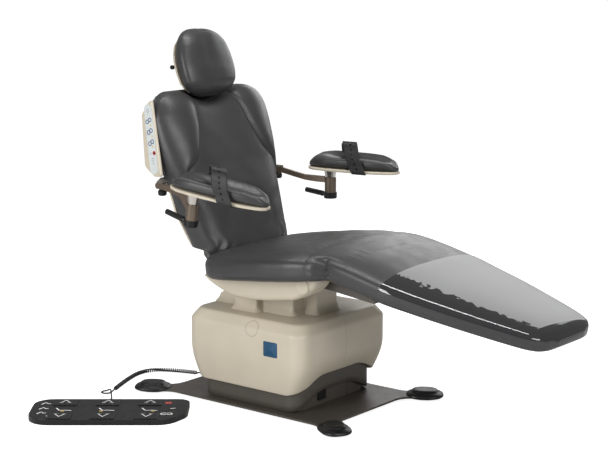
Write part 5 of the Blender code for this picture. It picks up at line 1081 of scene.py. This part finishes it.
pedalX = [(i - 1) * control["pitch"] - control["shift"] for i in range(3)]
arrowHalf, arrowFoot, arrowTip = control["arrow"]
for i, x in enumerate(pedalX):
    for word, way in (("up", 1), ("down", -1)):
        foot = [(x - arrowHalf, way * arrowFoot), (x + arrowHalf, way * arrowFoot)]
        controlMarks(f"pedal_mark_{i + 1}_{word}", [[*foot, (x, way * arrowTip), *foot]], 0.0062, "white",
                     f"pedal_{i + 1}_{word}", control["pedalTop"])
controlMarks("control_chairs", [[(x - 0.022, 0.012), (x - 0.009, -0.014), (x + 0.010, -0.012), (x + 0.030, -0.016)]
                                for x in pedalX], 0.0048, "white")
controlMarks("control_hints", [[(x + dx, -0.020), (x + dx + 0.011, -0.024)]
                               for x, dx in zip(pedalX, (-0.004, -0.018, 0.010))], 0.0080, "yellow")
corners = [[(-0.228, y - 0.006), (-0.216, y + 0.014), (-0.207, y), (-0.199, y + 0.004)]
           for y in (0.060, 0.004, -0.046)]
corners += [[(-0.184, 0.078), (-0.172, 0.086), (-0.162, 0.080)],
            [(-0.194, -0.078), (-0.186, -0.070), (-0.178, -0.077)], [(0.196, 0.006), (0.214, 0.010)],
            circle(0.180, -0.052, 0.009), circle(0.198, -0.052, 0.009)]
controlMarks("control_corners", corners, 0.0050, "white")
controlMarks("control_stop", [circle(0.186, 0.070, 0.0075)], 0.0090, "red")

badge = {"y": (-0.150, -0.092), "z": (0.198, 0.248), "radius": 0.005, "face": -0.2372}
# The badge as loops of place and size, from the cover outwards.
badge["loops"] = ((0.001, 1.0), (-0.0008, 1.0), (-0.0014, 0.98), (-0.0014, 0.02))
joint = {"y": -0.18825, "line": [(0.079, 0.015), (0.079, 0.066)], "width": 0.0016}


def plainBadge():
    # A small rounded plate standing on the near side of the pedestal.
    (y0, y1), (z0, z1) = badge["y"], badge["z"]
    loop = roundedOutline([(y0, z0), (y1, z0), (y1, z1), (y0, z1)], badge["radius"], 7)
    middle = loop.mean(0)
    rows = [columns(badge["face"] + x, *(middle + (loop - middle) * k).T) for x, k in badge["loops"]]
    piece = faceOut(gridPiece("plain_badge", np.array(rows), mats["badge"]))
    settle(piece, body="lift", slot="beige_moulding")


def onSkirt(p):
    return columns(p[:, 0], joint["y"], p[:, 1])


plainBadge()
printed("skirt_joint", [joint["line"]], joint["width"], "black", onSkirt, "base", "skirt_moulding")
print("marks done")


# Clear foot cover

sheet = {"start": 0.27, "rows": 150, "grow": 0.0011, "bulge": 0.005, "clingRise": (0.030, 0.060), "uvLength": 1.2}


def footCover():
    # The leg cushion's own sections, a little larger, from the open end to the closed toe.
    rows = padRows(leg, easedShares(sheet["rows"], sheet["start"]), sheet["grow"])
    tip = closedEnds(rows, (0, 0, 0), (0, -sheet["bulge"], 0))[capSteps:]
    piece = gridPiece("foot_sheet", moved(tip, legPlane), mats["film"])
    mesh = piece.data
    # Across runs 0 at the near edge to 1 at the far edge over the top, and stays below 0 underneath.
    x, z = tip[..., 0], tip[..., 2]
    across = x / np.abs(x).max(1, keepdims=True) * 0.5 + 0.5
    above = rise(z - leg["under"], *sheet["clingRise"])
    along = np.linspace(0, sheet["uvLength"], len(tip))[:, None]
    flatUv = columns(along, across * above - (1 - above) * 0.5).reshape(-1, 2)
    corner = np.zeros(len(mesh.loops), int)
    mesh.loops.foreach_get("vertex_index", corner)
    mesh.uv_layers.new(name="sheet").data.foreach_set("uv", flatUv[corner].ravel())
    return settle(faceOut(piece), "foot_cover", body="leg", slot="clear_vinyl")


footSheet = footCover()


# Light and floor

def areaLight(name, place, target, size, power):
    data = bpy.data.lights.new(name, "AREA")
    data.shape = "RECTANGLE"
    data.size, data.size_y = size
    data.energy = power
    lamp = placed(name, data)
    lamp.location = place
    lamp.rotation_euler = facing(Vector(target) - Vector(place))


areaLight("left", (-3.0, 0.5, 1.25), (0, 0.1, 0.75), (0.8, 1.8), 44)
areaLight("front", (-1.8, -4.2, 2.4), (0, -0.2, 0.6), (2.2, 2.0), 90)
areaLight("top", (-0.05, -0.10, 3.2), (-0.05, -0.45, 0.45), (0.28, 3.0), 38)
areaLight("behind", (3.4, 0.6, 1.9), (0, -0.5, 0.5), (3.0, 1.8), 36)

# The camera sees a white world, which lights the part as a grey one.
world = bpy.data.worlds.new("studio")
bpy.context.scene.world = world
world.use_nodes = True
tree = world.node_tree
background = tree.nodes["Background"]
rays = tree.nodes.new("ShaderNodeLightPath")
mix = tree.nodes.new("ShaderNodeMix")
mix.data_type = "RGBA"
tree.links.new(rays.outputs["Is Camera Ray"], mix.inputs["Factor"])
mix.inputs["A"].default_value = (0.27, 0.27, 0.27, 1)
mix.inputs["B"].default_value = (1, 1, 1, 1)
tree.links.new(mix.outputs["Result"], background.inputs["Color"])
background.inputs["Strength"].default_value = 1.0
bpy.context.scene.view_settings.view_transform = "Standard"

floorHalf = 30
floorShade = Shader("pale_floor")
floorShade.colour(floorShade.noise(3, 2), (0.74, 0.74, 0.74), (0.78, 0.78, 0.78))
seen = floorShade.node("LightPath").outputs["Is Camera Ray"]
floorShade.set(Roughness=0.8, Specular_IOR_Level=0.1, Emission_Color=(1, 1, 1, 1),
               Emission_Strength=floorShade.math("MULTIPLY", seen, 0.85))
floorGrid = np.array([[(x, y, 0) for x in (-floorHalf, floorHalf)] for y in (-floorHalf, floorHalf)], float)
floor = gridPiece("floor", floorGrid, floorShade.mat, loop=False)
print("light done")
